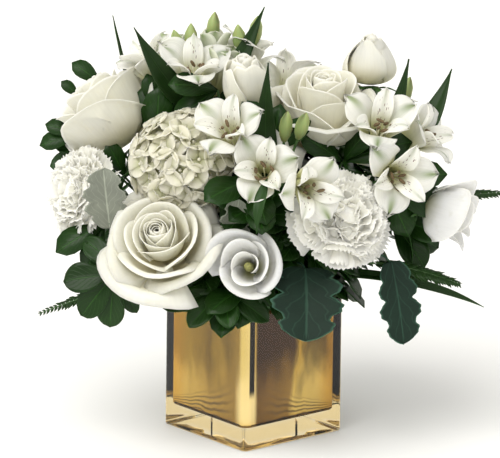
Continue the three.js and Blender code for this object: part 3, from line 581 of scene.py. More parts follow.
def scatter_tree():
    """A copy of one object at each point, growing and facing as the point says."""
    w = new_geometry_tree(
        "copies_on_points",
        ("Points", GEOMETRY, None),
        ("Copy", "NodeSocketObject", None),
        ("Size Variation", "NodeSocketFloat", 0.1),
        ("Seed", "NodeSocketInt", 3),
    )
    growth, facing = w.named("growth", "FLOAT_VECTOR"), w.named("facing", "FLOAT_VECTOR")
    size = w.named("size")
    axes = {"Primary Axis": growth, "Secondary Axis": facing}
    turn = w.add("FunctionNodeAxesToRotation", axes, primary_axis="Z", secondary_axis="Y").outputs[0]
    low, high = w.minus(1.0, w.given["Size Variation"]), w.plus(1.0, w.given["Size Variation"])
    limits = {2: low, 3: high, "Seed": w.given["Seed"]}
    vary = w.add("FunctionNodeRandomValue", limits, data_type="FLOAT").outputs[1]
    scale = w.times(size, vary)
    copy = w.add("GeometryNodeObjectInfo", {"Object": w.given["Copy"]}, transform_space="ORIGINAL")
    instance = {"Instance": copy.outputs["Geometry"], "Rotation": turn, "Scale": scale}
    placed = w.add("GeometryNodeInstanceOnPoints", {"Points": w.given["Points"], **instance})
    return w.deliver_mesh(placed.outputs[0])


def grown(name, base, tree, values):
    """The plain mesh that a tree makes of a base mesh."""
    carrier = linked(name, base)
    modifier = carrier.modifiers.new(name, "NODES")
    modifier.node_group = tree
    named = {s.name: s.identifier for s in tree.interface.items_tree if s.item_type == "SOCKET"}
    for label, value in values.items():
        modifier[named[label]] = value
    bpy.context.view_layer.update()
    made = bpy.data.meshes.new_from_object(carrier.evaluated_get(bpy.context.evaluated_depsgraph_get()))
    carrier.modifiers.clear()
    carrier.data = made
    if not made.polygons:
        raise RuntimeError(f"{name} came out empty")
    made.shade_smooth()
    return carrier


def stalks(name, paths, material, sides=10):
    """Stalks along paths, each a list of (point, radius) in millimetres."""
    points, edges, girths = [], [], []
    for path in paths:
        edges += [(len(points) + k, len(points) + k + 1) for k in range(len(path) - 1)]
        points += [tuple(point * MM) for point, _ in path]
        girths += [radius * MM for _, radius in path]
    base = bpy.data.meshes.new(name)
    base.from_pydata(points, edges, [])
    base.attributes.new("girth", "FLOAT", "POINT").data.foreach_set("value", girths)
    return grown(name, base, shared_tree(stalk_tree), {"Sides": sides, "Material": material})


def copies(name, pattern, spots, material, variation=0.1):
    """Copies of a pattern object at spots of (point, growth, facing, size, tone)."""
    points, growths, facings, sizes, tones = zip(*spots)
    base = bpy.data.meshes.new(name)
    base.from_pydata([tuple(point * MM) for point in points], [], [])
    for label, ways in (("growth", growths), ("facing", facings)):
        flat = [value for way in ways for value in way]
        base.attributes.new(label, "FLOAT_VECTOR", "POINT").data.foreach_set("vector", flat)
    for label, values in (("size", sizes), ("tone", tones)):
        base.attributes.new(label, "FLOAT", "POINT").data.foreach_set("value", values)
    inputs = {"Copy": pattern, "Size Variation": variation, "Seed": 3, "Material": material}
    made = grown(name, base, shared_tree(scatter_tree), inputs)
    bpy.data.objects.remove(pattern)
    return made


# ---- Surface effects: shader groups that put out colour, roughness and height ----
COLOUR = "NodeSocketColor"
VALUE = "NodeSocketFloat"
SURFACE = [("Color", COLOUR), ("Roughness", VALUE), ("Height", VALUE)]


def new_surface(name, **defaults):
    """The wiring of a surface group, whose inputs are colours and numbers with these defaults."""
    kinds = {label: COLOUR if isinstance(value, tuple) else VALUE for label, value in defaults.items()}
    inputs = [(label.replace("_", " "), kinds[label], value) for label, value in defaults.items()]
    return new_tree(name, "ShaderNodeTree", inputs, SURFACE)


def blade_coordinates(w):
    """Across and along a blade, as 0 to 1, and the distance from its middle line."""
    uv = w.add("ShaderNodeUVMap", uv_map="UVMap").outputs["UV"]
    split = w.add("ShaderNodeSeparateXYZ", {"Vector": uv}).outputs
    return split["X"], split["Y"], w.apart(split["X"], 0.5)


def streaks(w, across, along, dense, long, tone):
    """Fine noise drawn out along a blade, and different on each."""
    place = w.vector(w.times(across, dense), w.times(along, long), w.times(tone, 9.0))
    return w.noise(place, 1.0, 3.0)


def petal_surface():
    """A petal: deeper coloured towards its foot, a paler rim, and fine ribs along it."""
    w = new_surface(
        "petal_surface",
        Heart=(0.7, 0.72, 0.42, 1),
        Face=(0.88, 0.86, 0.77, 1),
        Rim=(0.93, 0.92, 0.86, 1),
        Depth=0.55,
    )
    across, along, _ = blade_coordinates(w)
    tone = w.attribute("tone")
    ribs = streaks(w, across, along, 34.0, 2.5, tone)
    colour = w.blend(w.rise(along, 0.0, w.given["Depth"]), w.given["Heart"], w.given["Face"])
    colour = w.blend(w.rise(along, 0.92, 1.0), colour, w.given["Rim"])
    bruise = w.times(w.rise(w.mottling(120.0), 0.5, 0.8), 0.22)
    colour = w.blend(bruise, colour, w.given["Heart"])
    shade = w.plus(w.plus(w.times(ribs, 0.12), w.times(tone, 0.06)), 0.86)
    return w.deliver_surface(w.shaded(colour, shade), w.plus(w.times(ribs, 0.2), 0.42), ribs)


def tepal_surface():
    """An alstroemeria tepal: a green stripe to its tip, a yellow-green throat and dark flecks."""
    w = new_surface(
        "tepal_surface",
        Petal=(0.9, 0.9, 0.86, 1),
        Throat=(0.68, 0.72, 0.3, 1),
        Stripe=(0.28, 0.4, 0.12, 1),
        Fleck=(0.12, 0.015, 0.02, 1),
        Flecks=0.0,
        Tip=0.6,
        Band=0.17,
    )
    across, along, off = blade_coordinates(w)
    tone = w.attribute("tone")
    ribs = streaks(w, across, along, 46.0, 2.0, tone)
    colour = w.blend(w.rise(along, 0.2, 0.62), w.given["Throat"], w.given["Petal"])
    middle = w.fall(off, 0.01, w.given["Band"])
    tip = w.times(w.rise(along, 0.3, 0.97), w.given["Tip"])
    colour = w.blend(w.times(middle, tip), colour, w.given["Stripe"])
    place = w.vector(w.times(across, 13.0), w.times(along, 8.0), tone)
    cells = w.add("ShaderNodeTexVoronoi", {"Vector": place, "Scale": 1.0})
    dash = w.fall(cells.outputs["Distance"], 0.2, 0.27)
    halfway = w.times(w.rise(along, 0.3, 0.4), w.fall(along, 0.7, 0.8))
    inside = w.times(halfway, w.fall(off, 0.26, 0.34))
    colour = w.blend(w.times(w.times(dash, inside), w.given["Flecks"]), colour, w.given["Fleck"])
    colour = w.shaded(colour, w.plus(w.times(ribs, 0.26), 0.8))
    return w.deliver_surface(colour, w.plus(w.times(ribs, 0.2), 0.36), ribs)


def leaf_surface():
    """A leaf: a midrib, side veins, a rim of its own colour and a paler underside."""
    w = new_surface(
        "leaf_surface",
        Blade=(0.022, 0.055, 0.016, 1),
        Vein=(0.07, 0.13, 0.04, 1),
        Rim=(0.03, 0.07, 0.02, 1),
        Underside=(0.07, 0.12, 0.045, 1),
        Side_Veins=7.0,
        Slant=0.9,
        Gloss=0.35,
    )
    _, along, off = blade_coordinates(w)
    tone = w.attribute("tone")
    run = w.minus(along, w.times(off, w.given["Slant"]))
    phase = w.math("FRACT", w.times(run, w.given["Side Veins"]))
    side = w.fall(w.apart(phase, 0.5), 0.0, 0.1)
    rib = w.fall(off, 0.008, 0.035)
    veins = w.math("MAXIMUM", rib, w.times(side, 0.45))
    cloud = w.mottling(70.0)
    colour = w.blend(w.times(veins, 0.7), w.given["Blade"], w.given["Vein"])
    colour = w.blend(w.times(w.rise(off, 0.44, 0.5), 0.8), colour, w.given["Rim"])
    colour = w.blend(w.rise(w.attribute("under"), 0.4, 0.6), colour, w.given["Underside"])
    colour = w.shaded(colour, w.plus(w.times(cloud, 0.7), w.plus(w.times(tone, 0.5), 0.4)))
    roughness = w.plus(w.times(cloud, 0.12), w.given["Gloss"])
    return w.deliver_surface(colour, roughness, w.minus(w.times(cloud, 0.3), w.times(veins, 0.5)))


def plain_surface():
    """A stem, bead or block: two colours in soft patches."""
    colours = dict(First=(0.06, 0.12, 0.03, 1), Second=(0.1, 0.17, 0.05, 1))
    w = new_surface("plain_surface", **colours, Grain=150.0, Roughness=0.5)
    cloud = w.mottling(w.given["Grain"])
    colour = w.blend(w.rise(cloud, 0.35, 0.65), w.given["First"], w.given["Second"])
    return w.deliver_surface(colour, w.plus(w.times(cloud, 0.15), w.given["Roughness"]), cloud)


# ---- Materials ----
SOFT = dict(
    Subsurface_Weight=0.5,
    Subsurface_Scale=0.008,
    Subsurface_Radius=(1.0, 0.95, 0.75),
    Sheen_Weight=0.05,
)
PETAL_LOOKS = {  # the colours of its face, heart and rim, and how far the heart's colour reaches
    "rose_petal": ("cream", "cream_heart", "cream_rim", 0.8),
    "carnation_petal": ("carnation", "carnation_heart", "white_rim", 0.6),
    "lisianthus_petal": ("cool_white", "olive", "white_rim", 0.5),
    "hydrangea_petal": ("lime", "lime_heart", "cream_rim", 0.7),
}
LEAF_LOOKS = {  # the brightness of its veins, rim and underside, its side veins, gloss and constants
    "glossy_leaf": (2.6, 1.3, 3.0, 7.0, 0.25, dict(Specular_IOR_Level=0.22)),
    "lance_leaf": (1.8, 1.3, 3.0, 0.0, 0.35, dict(Specular_IOR_Level=0.2)),
    "silver_leaf": (2.1, 1.6, 1.2, 7.0, 0.75, dict(Sheen_Weight=0.15)),
    "slate_leaf": (3.0, 5.0, 7.0, 4.0, 0.6, dict(Specular_IOR_Level=0.2)),
}
PLAIN_LOOKS = {  # the colour, the brightness of its two patches, their grain, roughness and relief
    "green_stem": ("stem", 1.0, 1.6, 150.0, 0.4, 0.0002),
    "anther": ("anther", 1.0, 1.8, 900.0, 0.7, 0.0002),
    "filament": ("filament", 1.0, 1.3, 150.0, 0.5, 0.0002),
    "olive_pistil": ("olive", 0.6, 1.0, 500.0, 0.5, 0.0002),
    "floral_foam": ("foam", 1.0, 1.7, 900.0, 0.8, 0.0006),
}


def finish(name, make, values, bump=0.0002, **shader):
    """A material: a surface group feeding the shader, whose other values are constants."""
    if name in bpy.data.materials:
        return bpy.data.materials[name]
    material = bpy.data.materials.new(name)
    material.use_nodes = True
    w = Wiring(material.node_tree)
    principled = material.node_tree.nodes["Principled BSDF"]
    group = w.add("ShaderNodeGroup", node_tree=shared_tree(make))
    for label, value in values.items():
        group.inputs[label].default_value = value
    relief = w.add("ShaderNodeBump", {"Height": group.outputs["Height"], "Distance": bump, "Strength": 1.0})
    w.feed(principled.inputs["Base Color"], group.outputs["Color"])
    w.feed(principled.inputs["Roughness"], group.outputs["Roughness"])
    w.feed(principled.inputs["Normal"], relief.outputs[0])
    for label, value in shader.items():
        principled.inputs[label.replace("_", " ")].default_value = value
    return material


def chosen(name, scale=1.0):
    """One of the add-on's colours, made brighter or darker."""
    colour = getattr(bpy.context.scene.centerpiece_colours, name)
    return (*(min(1.0, c * scale) for c in colour), 1.0)


def petal_finish(name):
    face, heart, rim, depth = PETAL_LOOKS[name]
    values = {"Heart": chosen(heart), "Face": chosen(face), "Rim": chosen(rim), "Depth": depth}
    return finish(name, petal_surface, values, **SOFT)


def tepal_finish(name, petal, flecks=0.0, tip=1.0, band=0.17):
    values = {"Petal": chosen(petal), "Throat": chosen("throat"), "Stripe": chosen("stripe")}
    values |= {"Fleck": chosen("fleck"), "Flecks": flecks, "Tip": tip, "Band": band}
    return finish(name, tepal_surface, values, **SOFT)


def bud_finish():
    values = {"Petal": chosen("bud"), "Throat": chosen("bud", 0.7), "Stripe": chosen("stripe", 0.5)}
    values |= {"Fleck": chosen("fleck"), "Flecks": 0.0, "Tip": 1.0}
    return finish("striped_bud", tepal_surface, values, Subsurface_Weight=0.1)


def leaf_finish(name):
    vein, rim, under, side_veins, gloss, shader = LEAF_LOOKS[name]
    values = {"Blade": chosen(name), "Vein": chosen(name, vein), "Rim": chosen(name, rim)}
    values |= {"Underside": chosen(name, under), "Side Veins": side_veins, "Gloss": gloss}
    return finish(name, leaf_surface, values, bump=0.0004, **shader)


def plain_finish(name):
    colour, dark, light, grain, roughness, bump = PLAIN_LOOKS[name]
    values = {"First": chosen(colour, dark), "Second": chosen(colour, light), "Grain": grain}
    return finish(name, plain_surface, {**values, "Roughness": roughness}, bump=bump)


# ---- Petals ----
OUTER_TEPAL, INNER_TEPAL, ANTHER, BUD, CLOSED_TEPAL = range(5)  # a spray's material slots


def between(t, shares, values):
    return float(np.interp(t, shares, values))


def any_turn(draw):
    """A turn anywhere round, in radians."""
    return draw.uniform(0, 6.28)


def bezier(points, t):
    """A Bezier curve of any degree at an array of parameters, one array for each coordinate."""
    n = len(points) - 1
    weights = [math.comb(n, k) * (1 - t) ** (n - k) * t**k for k in range(n + 1)]
    return [sum(weight * point[i] for weight, point in zip(weights, points)) for i in range(len(points[0]))]


def wrapped_petal(rows, cols, turn, half, profile, crown, corner=0, lap=0, roll=0, fold=0, ruffle=0, phase=0):
    """A petal that wraps round +Z, from the (radius, height) points of its middle line.

    crown lowers the rim towards its sides and corner gives it two points. lap slides one side under
    the next petal, roll turns the rim out and fold turns it out more at its sides.
    """
    u = np.linspace(-1, 1, cols)[None, :]
    v = np.linspace(0, 1, rows)[:, None]
    off = np.abs(u)
    peak = 1 - np.abs(off - 0.5) / 0.5
    radius, height = bezier(profile, v * (1 - crown * off**2.3 + corner * (peak - 0.5) * v**3))
    curl = np.clip((v - 0.6) / 0.4, 0, 1) ** 2
    out = roll * curl * (1 + fold * off**1.5)
    wave = ruffle * v**3 * np.sin(3.3 * u + phase)
    radius = radius + lap * u * smooth(0.1, 0.6, v) + out + wave
    height = height - 0.7 * out * curl + 0.7 * wave
    angle = turn + u * half * (0.5 + 0.5 * smooth(0, 0.5, v))
    return np.stack([radius * np.cos(angle), radius * np.sin(angle), height], -1)


def fan_petal(
    rows, cols, turn, profile, width, cup=0, ruffle=0, waves=4, teeth=0, crinkle=0, ragged=0, phase=0
):
    """A petal that spreads flat to a half width at each share of its length, with a waved face.

    cup lifts its sides. ruffle and crinkle wave its face and edges. teeth and ragged nibble its tip.
    """
    u = np.linspace(-1, 1, cols)[None, :]
    v = 1 - (1 - np.linspace(0, 1, rows)[:, None]) ** 1.35
    saw = np.abs((u * 5.6 + phase + 0.3 * np.sin(5 * u + phase)) % 1 - 0.5) * 2
    nibbled = np.sin(9 * u + phase) + np.sin(19 * u + 2 * phase)
    reach = v * (1 - teeth * saw * v**4 - 0.12 * u**2 * (teeth > 0) - ragged * nibbled * v**4)
    radius, height = bezier(profile, reach)
    ahead = bezier(profile, reach + 1e-3)
    rise = np.stack([ahead[0] - radius, ahead[1] - height])
    rise /= np.linalg.norm(rise, axis=0)
    half = width(reach)
    lift = ruffle * reach**2 * np.sin(waves * u + phase) + cup * half * u**2
    lift = lift + crinkle * u**2 * np.sin(13 * v + 2 * phase + 2.5 * np.sign(u))
    radius, height = radius - lift * rise[1], height + lift * rise[0]
    side = u * half
    east, north = math.cos(turn), math.sin(turn)
    return np.stack([radius * east - side * north, radius * north + side * east, height], -1)


def wind_petals(
    made, bloom, count, seed, profile, measures, rows, cols, jitter, turn=GOLDEN_TURN, edge=0.32
):
    """Petals wound round a bloom's axis, each from the profile for its share of the way out.

    Each of a petal's measures is a number, or (shares, values) from the innermost to the outermost.
    jitter is how far its turn strays, and edge its thickness at the rim.
    """
    draw = random.Random(seed)
    for k in range(count):
        t = k / (count - 1)
        angle = k * turn + draw.uniform(-jitter, jitter)
        shape = {label: between(t, *m) if isinstance(m, tuple) else m for label, m in measures.items()}
        grid = wrapped_petal(rows, cols, angle, profile=profile(t), phase=any_turn(draw), **shape)
        made.sheet(grid, np.linspace(0.9, edge, rows), bloom.place(), tone=draw.random())


def add_rose(made, name, bloom, seed):
    """Petals in a spiral: a tight heart, a cup round it and broad outer ones that roll back."""
    spread = ROSE_SPREAD.get(name, 1.0)
    shares = (0, 0.2, 0.4, 0.6, 0.8, 1)

    def profile(t):
        rim = bloom.radius * between(t, shares, (0.03, 0.08, 0.16, 0.35, 0.66, 0.92))
        belly = bloom.radius * between(t, shares, (0.12, 0.16, 0.22, 0.36 - 0.04 * spread, 0.6, 0.82))
        tops = (0.88, 0.95, 0.98, 0.97, 0.95 - 0.12 * spread, 0.93 - 0.38 * spread)
        top = bloom.height * between(t, shares, tops)
        foot = bloom.height * between(t, (0, 1), (0.4, 0.04))
        low, high = foot + (top - foot) * 0.02, foot + (top - foot) * 0.72
        return [(bloom.radius * 0.08, foot), (belly * 1.2, low), (belly * 1.1, high), (rim, top)]

    measures = dict(
        half=((0, 0.3, 0.6, 1), (2.2, 1.7, 1.5, 1.15)),
        crown=((0, 0.3, 0.6, 1), (0.1, 0.25, 0.42, 0.4)),
        corner=((0, 0.6, 1), (0, 0, 0.22 * spread**2)),
        lap=((0, 1), (0.6, 2.0)),
        roll=((0, 0.3, 0.6, 0.8, 1), (0, 0.8, 2.6, 2.5 + 3 * spread, 8.5 * spread + 1.5)),
        fold=((0, 0.6, 1), (0, 0.2, 0.5)),
        ruffle=((0, 0.5, 1), (0.1, 0.6, 1.7)),
    )
    count = bpy.context.scene.centerpiece_sizes.rose_petals
    wind_petals(made, bloom, count, seed, profile, measures, rows=17, cols=17, jitter=0.12)


def add_bud(made, name, bloom, seed):
    """A half-open rose: a few broad petals wound round each other, in an egg or, tapered, a cone."""
    mouth, taper = BUD_SHAPES[name]

    def profile(t):
        belly = bloom.radius * between(t, (0, 0.5, 1), (0.24, 0.62, 0.98))
        rim = belly * (0.12 + mouth * between(t, (0, 1), (0.35, 0.85)))
        top = bloom.height * between(t, (0, 0.5, 1), (1.0, 0.98, 0.86 + 0.08 * mouth))
        hip = (belly * (1.25 + 0.2 * taper), bloom.height * 0.12)
        shoulder = (belly * (1.05 - 0.35 * taper), bloom.height * 0.66)
        return [(bloom.radius * 0.12, bloom.height * 0.03), hip, shoulder, (rim, top)]

    measures = dict(
        half=((0, 0.5, 1), (2.3, 1.6, 1.25)),
        crown=((0, 1), (0.1, 0.35)),
        corner=((0, 0.5, 1), (0, 0, 0.2)),
        lap=((0, 1), (0.8, 1.9)),
        roll=((0, 0.5, 1), (0, 1.0, 5.0 * mouth)),
        fold=0.6,
        ruffle=((0, 1), (0.15, 0.8)),
    )
    wind_petals(made, bloom, 13, seed, profile, measures, rows=15, cols=15, jitter=0.1)


def add_lisianthus(made, name, bloom, seed):
    """Smooth petals wound round an open throat with a pistil, each rim rolled out over the next."""

    def profile(t):
        rim = bloom.radius * between(t, (0, 0.5, 1), (0.28, 0.6, 0.96))
        top = bloom.height * between(t, (0, 0.5, 1), (0.96, 0.97, 0.88))
        foot, hip = (bloom.radius * 0.1, bloom.height * 0.05), (rim * 1.1, bloom.height * 0.1)
        return [foot, hip, (rim * 0.9, bloom.height * 0.72), (rim, top)]

    measures = dict(
        half=((0, 1), (1.5, 1.25)),
        crown=0.5,
        lap=((0, 1), (2.4, 4.0)),
        roll=((0, 0.5, 1), (1.4, 3.6, 6.0)),
        fold=-0.5,
        ruffle=((0, 1), (0.4, 2.2)),
    )
    wind_petals(made, bloom, 8, seed, profile, measures, rows=17, cols=21, jitter=0.15, turn=2.05, edge=0.4)
    pistil = [(1.5, 2), (3.2, 8), (3.4, 14), (2.0, 19), (2.8, 22), (0.5, 24)]
    made.lathe(pistil, 12, bloom.place(), slot=1)


def add_carnation(made, name, bloom, seed):
    """Crumpled, fringed petals, crowded upright in the middle and drooping round the outside."""
    draw = random.Random(seed)
    radius, height = bloom.radius, bloom.height
    count = bpy.context.scene.centerpiece_sizes.carnation_petals
    for k in range(count):
        t = (k + 0.5) / count
        tip = radius * (0.1 + 0.9 * t**0.65) * draw.uniform(0.92, 1.05)
        top = height * (1 - 0.68 * t**2.4) * draw.uniform(0.9, 1.04)
        bulge = top * between(t, (0, 0.6, 1), (0.8, 1.02, 1.3))
        spread = radius * between(t, (0, 0.5, 1), (0.22, 0.34, 0.42)) * draw.uniform(0.85, 1.15)
        grid = fan_petal(
            12,
            25,
            k * GOLDEN_TURN + draw.uniform(-0.3, 0.3),
            [(1.5, height * 0.08), (tip * 0.25, height * 0.3), (tip * 0.66, bulge), (tip, top)],
            lambda reach, spread=spread: 1.2 + spread * smooth(0.2, 0.95, reach),
            cup=draw.uniform(-0.3, 0.3),
            ruffle=between(t, (0, 1), (3.2, 2.2)) * draw.uniform(0.6, 1.2),
            waves=draw.uniform(3.5, 6.5),
            teeth=draw.uniform(0.05, 0.12),
            crinkle=draw.uniform(0.6, 1.6),
            phase=any_turn(draw),
        )
        made.sheet(grid, np.linspace(0.7, 0.25, 12), bloom.place(), tone=draw.random())
    dense = [(0.3, 0.1), (0.42, 0.3), (0.58, 0.46), (0.6, 0.6), (0.46, 0.74), (0.22, 0.82), (0.01, 0.84)]
    made.lathe([(radius * wide, height * high) for wide, high in dense], 24, bloom.place())


def tepal_width(widest, peak):
    """A half width that swells to its widest near the end and closes in a blunt tip."""
    return lambda reach: 0.4 + widest * np.sin(math.pi * np.clip(reach, 0, 1) ** peak) ** 0.52


def add_open_floret(made, bloom, seed):
    """Three broad outer tepals and three slim, flecked inner ones round a funnel."""
    draw = random.Random(seed)
    height = bloom.height
    open_by = draw.uniform(0.86, 1.02)
    for k in range(6):
        inner = k % 2
        reach = bloom.radius * open_by * draw.uniform(0.98, 1.08)
        profile = [(1.6, 0.5), (6.0, height * 0.42), (reach * 0.34, height), (reach, height * 0.93)]
        if inner:
            throat = (reach * 0.2, height * 0.98)
            profile = [(1.4, 0.5), (4.6, height * 0.5), throat, (reach * 0.8, height * 1.08)]
        grid = fan_petal(
            19,
            13,
            k * math.pi / 3 + draw.uniform(-0.14, 0.14),
            profile,
            tepal_width(7.0, 1.9) if inner else tepal_width(13.4, 2.1),
            cup=0.25 if inner else draw.uniform(-0.15, 0.15),
            ruffle=draw.uniform(0.8, 2.2),
            waves=draw.uniform(2.2, 4.2),
            crinkle=0.5 if inner else 1.3,
            ragged=0.015 if inner else 0.03,
            phase=any_turn(draw),
        )
        slot = INNER_TEPAL if inner else OUTER_TEPAL
        made.sheet(grid, np.linspace(0.8, 0.32, 19), bloom.place(), tone=draw.random(), slot=slot)


def add_closed_floret(made, bloom, seed):
    """Six striped tepals still held upright in a narrow funnel."""
    draw = random.Random(seed)
    height = bloom.height
    for k in range(6):
        reach = bloom.radius * 0.5 * (0.55 if k % 2 else draw.uniform(0.8, 1.15))
        tip = (reach, height * draw.uniform(1.0, 1.12))
        grid = fan_petal(
            15,
            9,
            k * math.pi / 3 + draw.uniform(-0.12, 0.12),
            [(1.4, 0.5), (7.0, height * 0.4), (reach * 0.7, height * 0.9), tip],
            tepal_width(8.0 if k % 2 else 9.5, 1.5),
            cup=0.5,
            ruffle=draw.uniform(0.4, 1.2),
            waves=2.6,
            crinkle=0.7,
            phase=any_turn(draw),
        )
        made.sheet(grid, np.linspace(0.8, 0.35, 15), bloom.place(), tone=draw.random(), slot=CLOSED_TEPAL)


# ---- Leaves and stems ----
RIB_FOLD = 0.2  # how far each half of a leaf is folded up about its rib


def leaf_width(kind, s):
    """A leaf's half width at shares of its length, as a share of its widest."""
    if kind == "obovate":
        return np.sin(math.pi * s**1.6) ** 0.62
    if kind == "lance":
        return np.sin(math.pi * s**0.78) ** 1.2
    if kind == "strap":
        return (1 - s**2.4) * (0.85 + 0.3 * s)
    body = np.sin(math.pi * np.clip(0.03 + 0.97 * s, 0, 1) ** 1.05) ** 0.42
    lobes = 0.5 + 0.5 * np.cos(2 * math.pi * 4 * s**0.9)
    scallops = np.cos(2 * math.pi * 13 * s + 0.6)
    return body * (1 - (0.3 * lobes**2 + 0.035 * scallops) * smooth(0.1, 0.3, s))


def leaf_grid(kind, rows, cols, length, width, bend, wave=0.0, phase=0.0, sway=0.0):
    """A blade that arches away from its upper face and sways sideways, folded up about its rib."""
    u = np.linspace(-1, 1, cols)[None, :]
    s = np.linspace(0, 1, rows)[:, None]
    angle = bend * s
    along, drop = length * np.sin(angle) / bend, length * (1 - np.cos(angle)) / bend
    half = width / 2 * np.maximum(leaf_width(kind, s), 0.02)
    waved = wave * np.abs(u) ** 3 * np.sin(9 * s + 2.2 * np.sign(u) + phase)
    raised = np.abs(u) * half * math.sin(RIB_FOLD) + waved
    side = -u * half * math.cos(RIB_FOLD) + sway * np.sin(math.pi * s)
    return np.stack([side, raised * np.cos(angle) - drop, along + raised * np.sin(angle)], -1)


def add_leaf(made, kind, origin, leaf, rows, cols, thickness=0.5, slot=0, wave=0.8, tone=0.5):
    grid = leaf_grid(kind, rows, cols, leaf.length, leaf.width, leaf.bend, wave, 7 * tone, leaf.sway)
    place = blade_frame(origin, aimed(leaf.grow), aimed(leaf.face))
    made.sheet(grid, np.full(rows, thickness), place, tone=tone, slot=slot)


def small_leaf(name, kind, length, width, bend, material, rows=6):
    pattern = Surfaces()
    pattern.sheet(leaf_grid(kind, rows, 3, length, width, bend, 0.3), np.full(rows, 0.4))
    return pattern.object(name, material)


def curve_points(controls, count):
    t = np.linspace(0, 1, count)
    return [Vector(point) for point in zip(*bezier([tuple(c) for c in controls], t))]


def tapered(line, thick, thin):
    """The points of a line, each with a radius that shrinks evenly along it."""
    last = len(line) - 1
    return [(point, thick - (thick - thin) * k / last) for k, point in enumerate(line)]


def foot_of(node):
    """The middle of a stem's lowest end, which stands in the foam."""
    low, high = (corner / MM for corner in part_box("floral_foam"))
    points = np.array([vertex.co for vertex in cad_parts[node].data.vertices]) / MM
    points = points[np.all((points > low) & (points < high), axis=1)]
    lowest = points[points[:, 2] < points[:, 2].min() + 3]
    return Vector(lowest.mean(axis=0))


def stem_line(node, head, axis, count=18):
    """The line of a node's stem: up out of its hole in the foam, and in along the head's axis."""
    foot = foot_of(node)
    entry = Vector((foot.x / FOOT_SHARE, foot.y / FOOT_SHARE))
    start = Vector((foot.x, foot.y, FOAM_TOP - STEM_DEPTH))
    out = Vector((entry.x * 1.15, entry.y * 1.15, FOAM_TOP + STEM_RISE))
    return curve_points([start, out, head - axis * STEM_RISE, head], count)


def bloom_line(name):
    bloom = BLOOMS[name]
    return stem_line(name + "_stem", bloom.base() - bloom.way() * STEM_GAP, bloom.way())


# ---- Vase and foam ----
GLASS = dict(half=46, height=102, wall=6, floor=16, corner=4, inner_corner=3, bevel=1.2, punt=0.6)
LINING = dict(overlap=0.12, thickness=0.3, floor_gap=-0.12, corner=2.8)


def rounded_square(half, corner, height, steps=6, support=1.2):
    """A ring round a square with rounded corners, with an extra point beside each rounding."""
    middle = Vector((half - corner, half - corner, 0))
    turns = np.linspace(0, math.pi / 2, steps + 1)
    arc = [middle + Vector((corner * math.cos(a), corner * math.sin(a), 0)) for a in turns]
    side = [arc[0] - Vector((0, support, 0)), *arc, arc[-1] - Vector((support, 0, 0))]
    ring = [Matrix.Rotation(k * math.pi / 2, 3, "Z") @ point for k in range(4) for point in side]
    return np.array([(p.x, p.y, height) for p in ring])


def build_vase():
    """The glass, from under its base over the rim and in to its floor, and the thin gold lining in it.

    Each ring of a shell is a square of a half width and a height, with corners of a radius.
    """
    side, lift, low = GLASS["half"], GLASS["bevel"], GLASS["punt"]
    inside, floor, top = side - GLASS["wall"], GLASS["floor"], GLASS["height"]
    corner, inner = GLASS["corner"], GLASS["inner_corner"]
    shell = [
        (side - 14, low, corner),
        (side - 6, low, corner),
        (side - 4, 0.05, corner),
        (side - lift, 0.05, corner - lift * 0.7),
        (side - lift * 0.3, lift * 0.3, corner - lift * 0.2),
        (side, lift, corner),
        (side, lift + 1, corner),
        (side, top - lift - 1, corner),
        (side, top - lift, corner),
        (side - lift * 0.3, top - lift * 0.3, corner - lift * 0.2),
        (side - lift, top, corner - lift * 0.7),
        (inside + 0.6, top, inner),
        (inside, top - 0.6, inner),
        (inside, top - 2, inner),
        (inside, floor + 4, inner),
        (inside - 0.8, floor + 1, inner),
        (inside - 3, floor, inner),
        (inside - 10, floor, inner),
    ]
    glass = Surfaces()
    glass.tower([rounded_square(half, radius, height) for half, height, radius in shell])
    settle(glass.object("vase_glass", glass_finish()), "vase_glass", "vase")

    half, low = inside + LINING["overlap"], floor + LINING["floor_gap"]
    outer = [(half - 6, low), (half - 1.2, low), (half, low + 1.2), (half, low + 3)]
    outer += [(half, top - 3), (half, top - 1)]
    deep = LINING["thickness"]
    shell = outer + [(wide - deep, high) for wide, high in outer[:1:-1]]
    shell += [(half - 1.2, low + deep), (half - 6, low + deep)]
    lining = Surfaces()
    lining.tower([rounded_square(width, LINING["corner"], height) for width, height in shell])
    settle(lining.object("gold_lining", gold_finish()), "vase_glass", "vase")


BASE_TOP = (0.014, 0.022)  # the heights over which the glass turns from the painted gold reflection to clear, in metres
SIDE_CORNERS = (0.07, 0.082)  # the sums of X and Y over which the painted gold reflection comes back, in metres


def glass_surface():
    """Clear glass with the gold lining's colour painted into its thick base and side corners as a painted
    reflection, with a faint waviness.
    """
    w = new_surface("glass_surface", Clear=(1, 1, 1, 1), Base_Tint=(1.0, 0.8, 0.42, 1), Roughness=0.0)
    _, split = w.position()
    cloud = w.mottling(30.0, 1.0)
    # Painted reflection: the gold lining's colour, painted into the base and the side corners as a tint.
    colour = w.blend(w.rise(split["Z"], *BASE_TOP), w.given["Base Tint"], w.given["Clear"])
    side = w.math("ABSOLUTE", w.plus(split["X"], split["Y"]))
    colour = w.blend(w.rise(side, *SIDE_CORNERS), colour, w.given["Base Tint"])
    return w.deliver_surface(colour, w.plus(w.times(cloud, 0.01), w.given["Roughness"]), cloud)


def colour_ramp(w, value, stops):
    """A run of colours at shares of a value from 0 to 1."""
    ramp = w.add("ShaderNodeValToRGB", {"Fac": value})
    elements = ramp.color_ramp.elements
    while len(elements) < len(stops):
        elements.new(0.5)
    for element, (place, colour) in zip(elements, stops):
        element.position = place
        element.color = (*colour, 1)
    return ramp.outputs["Color"]


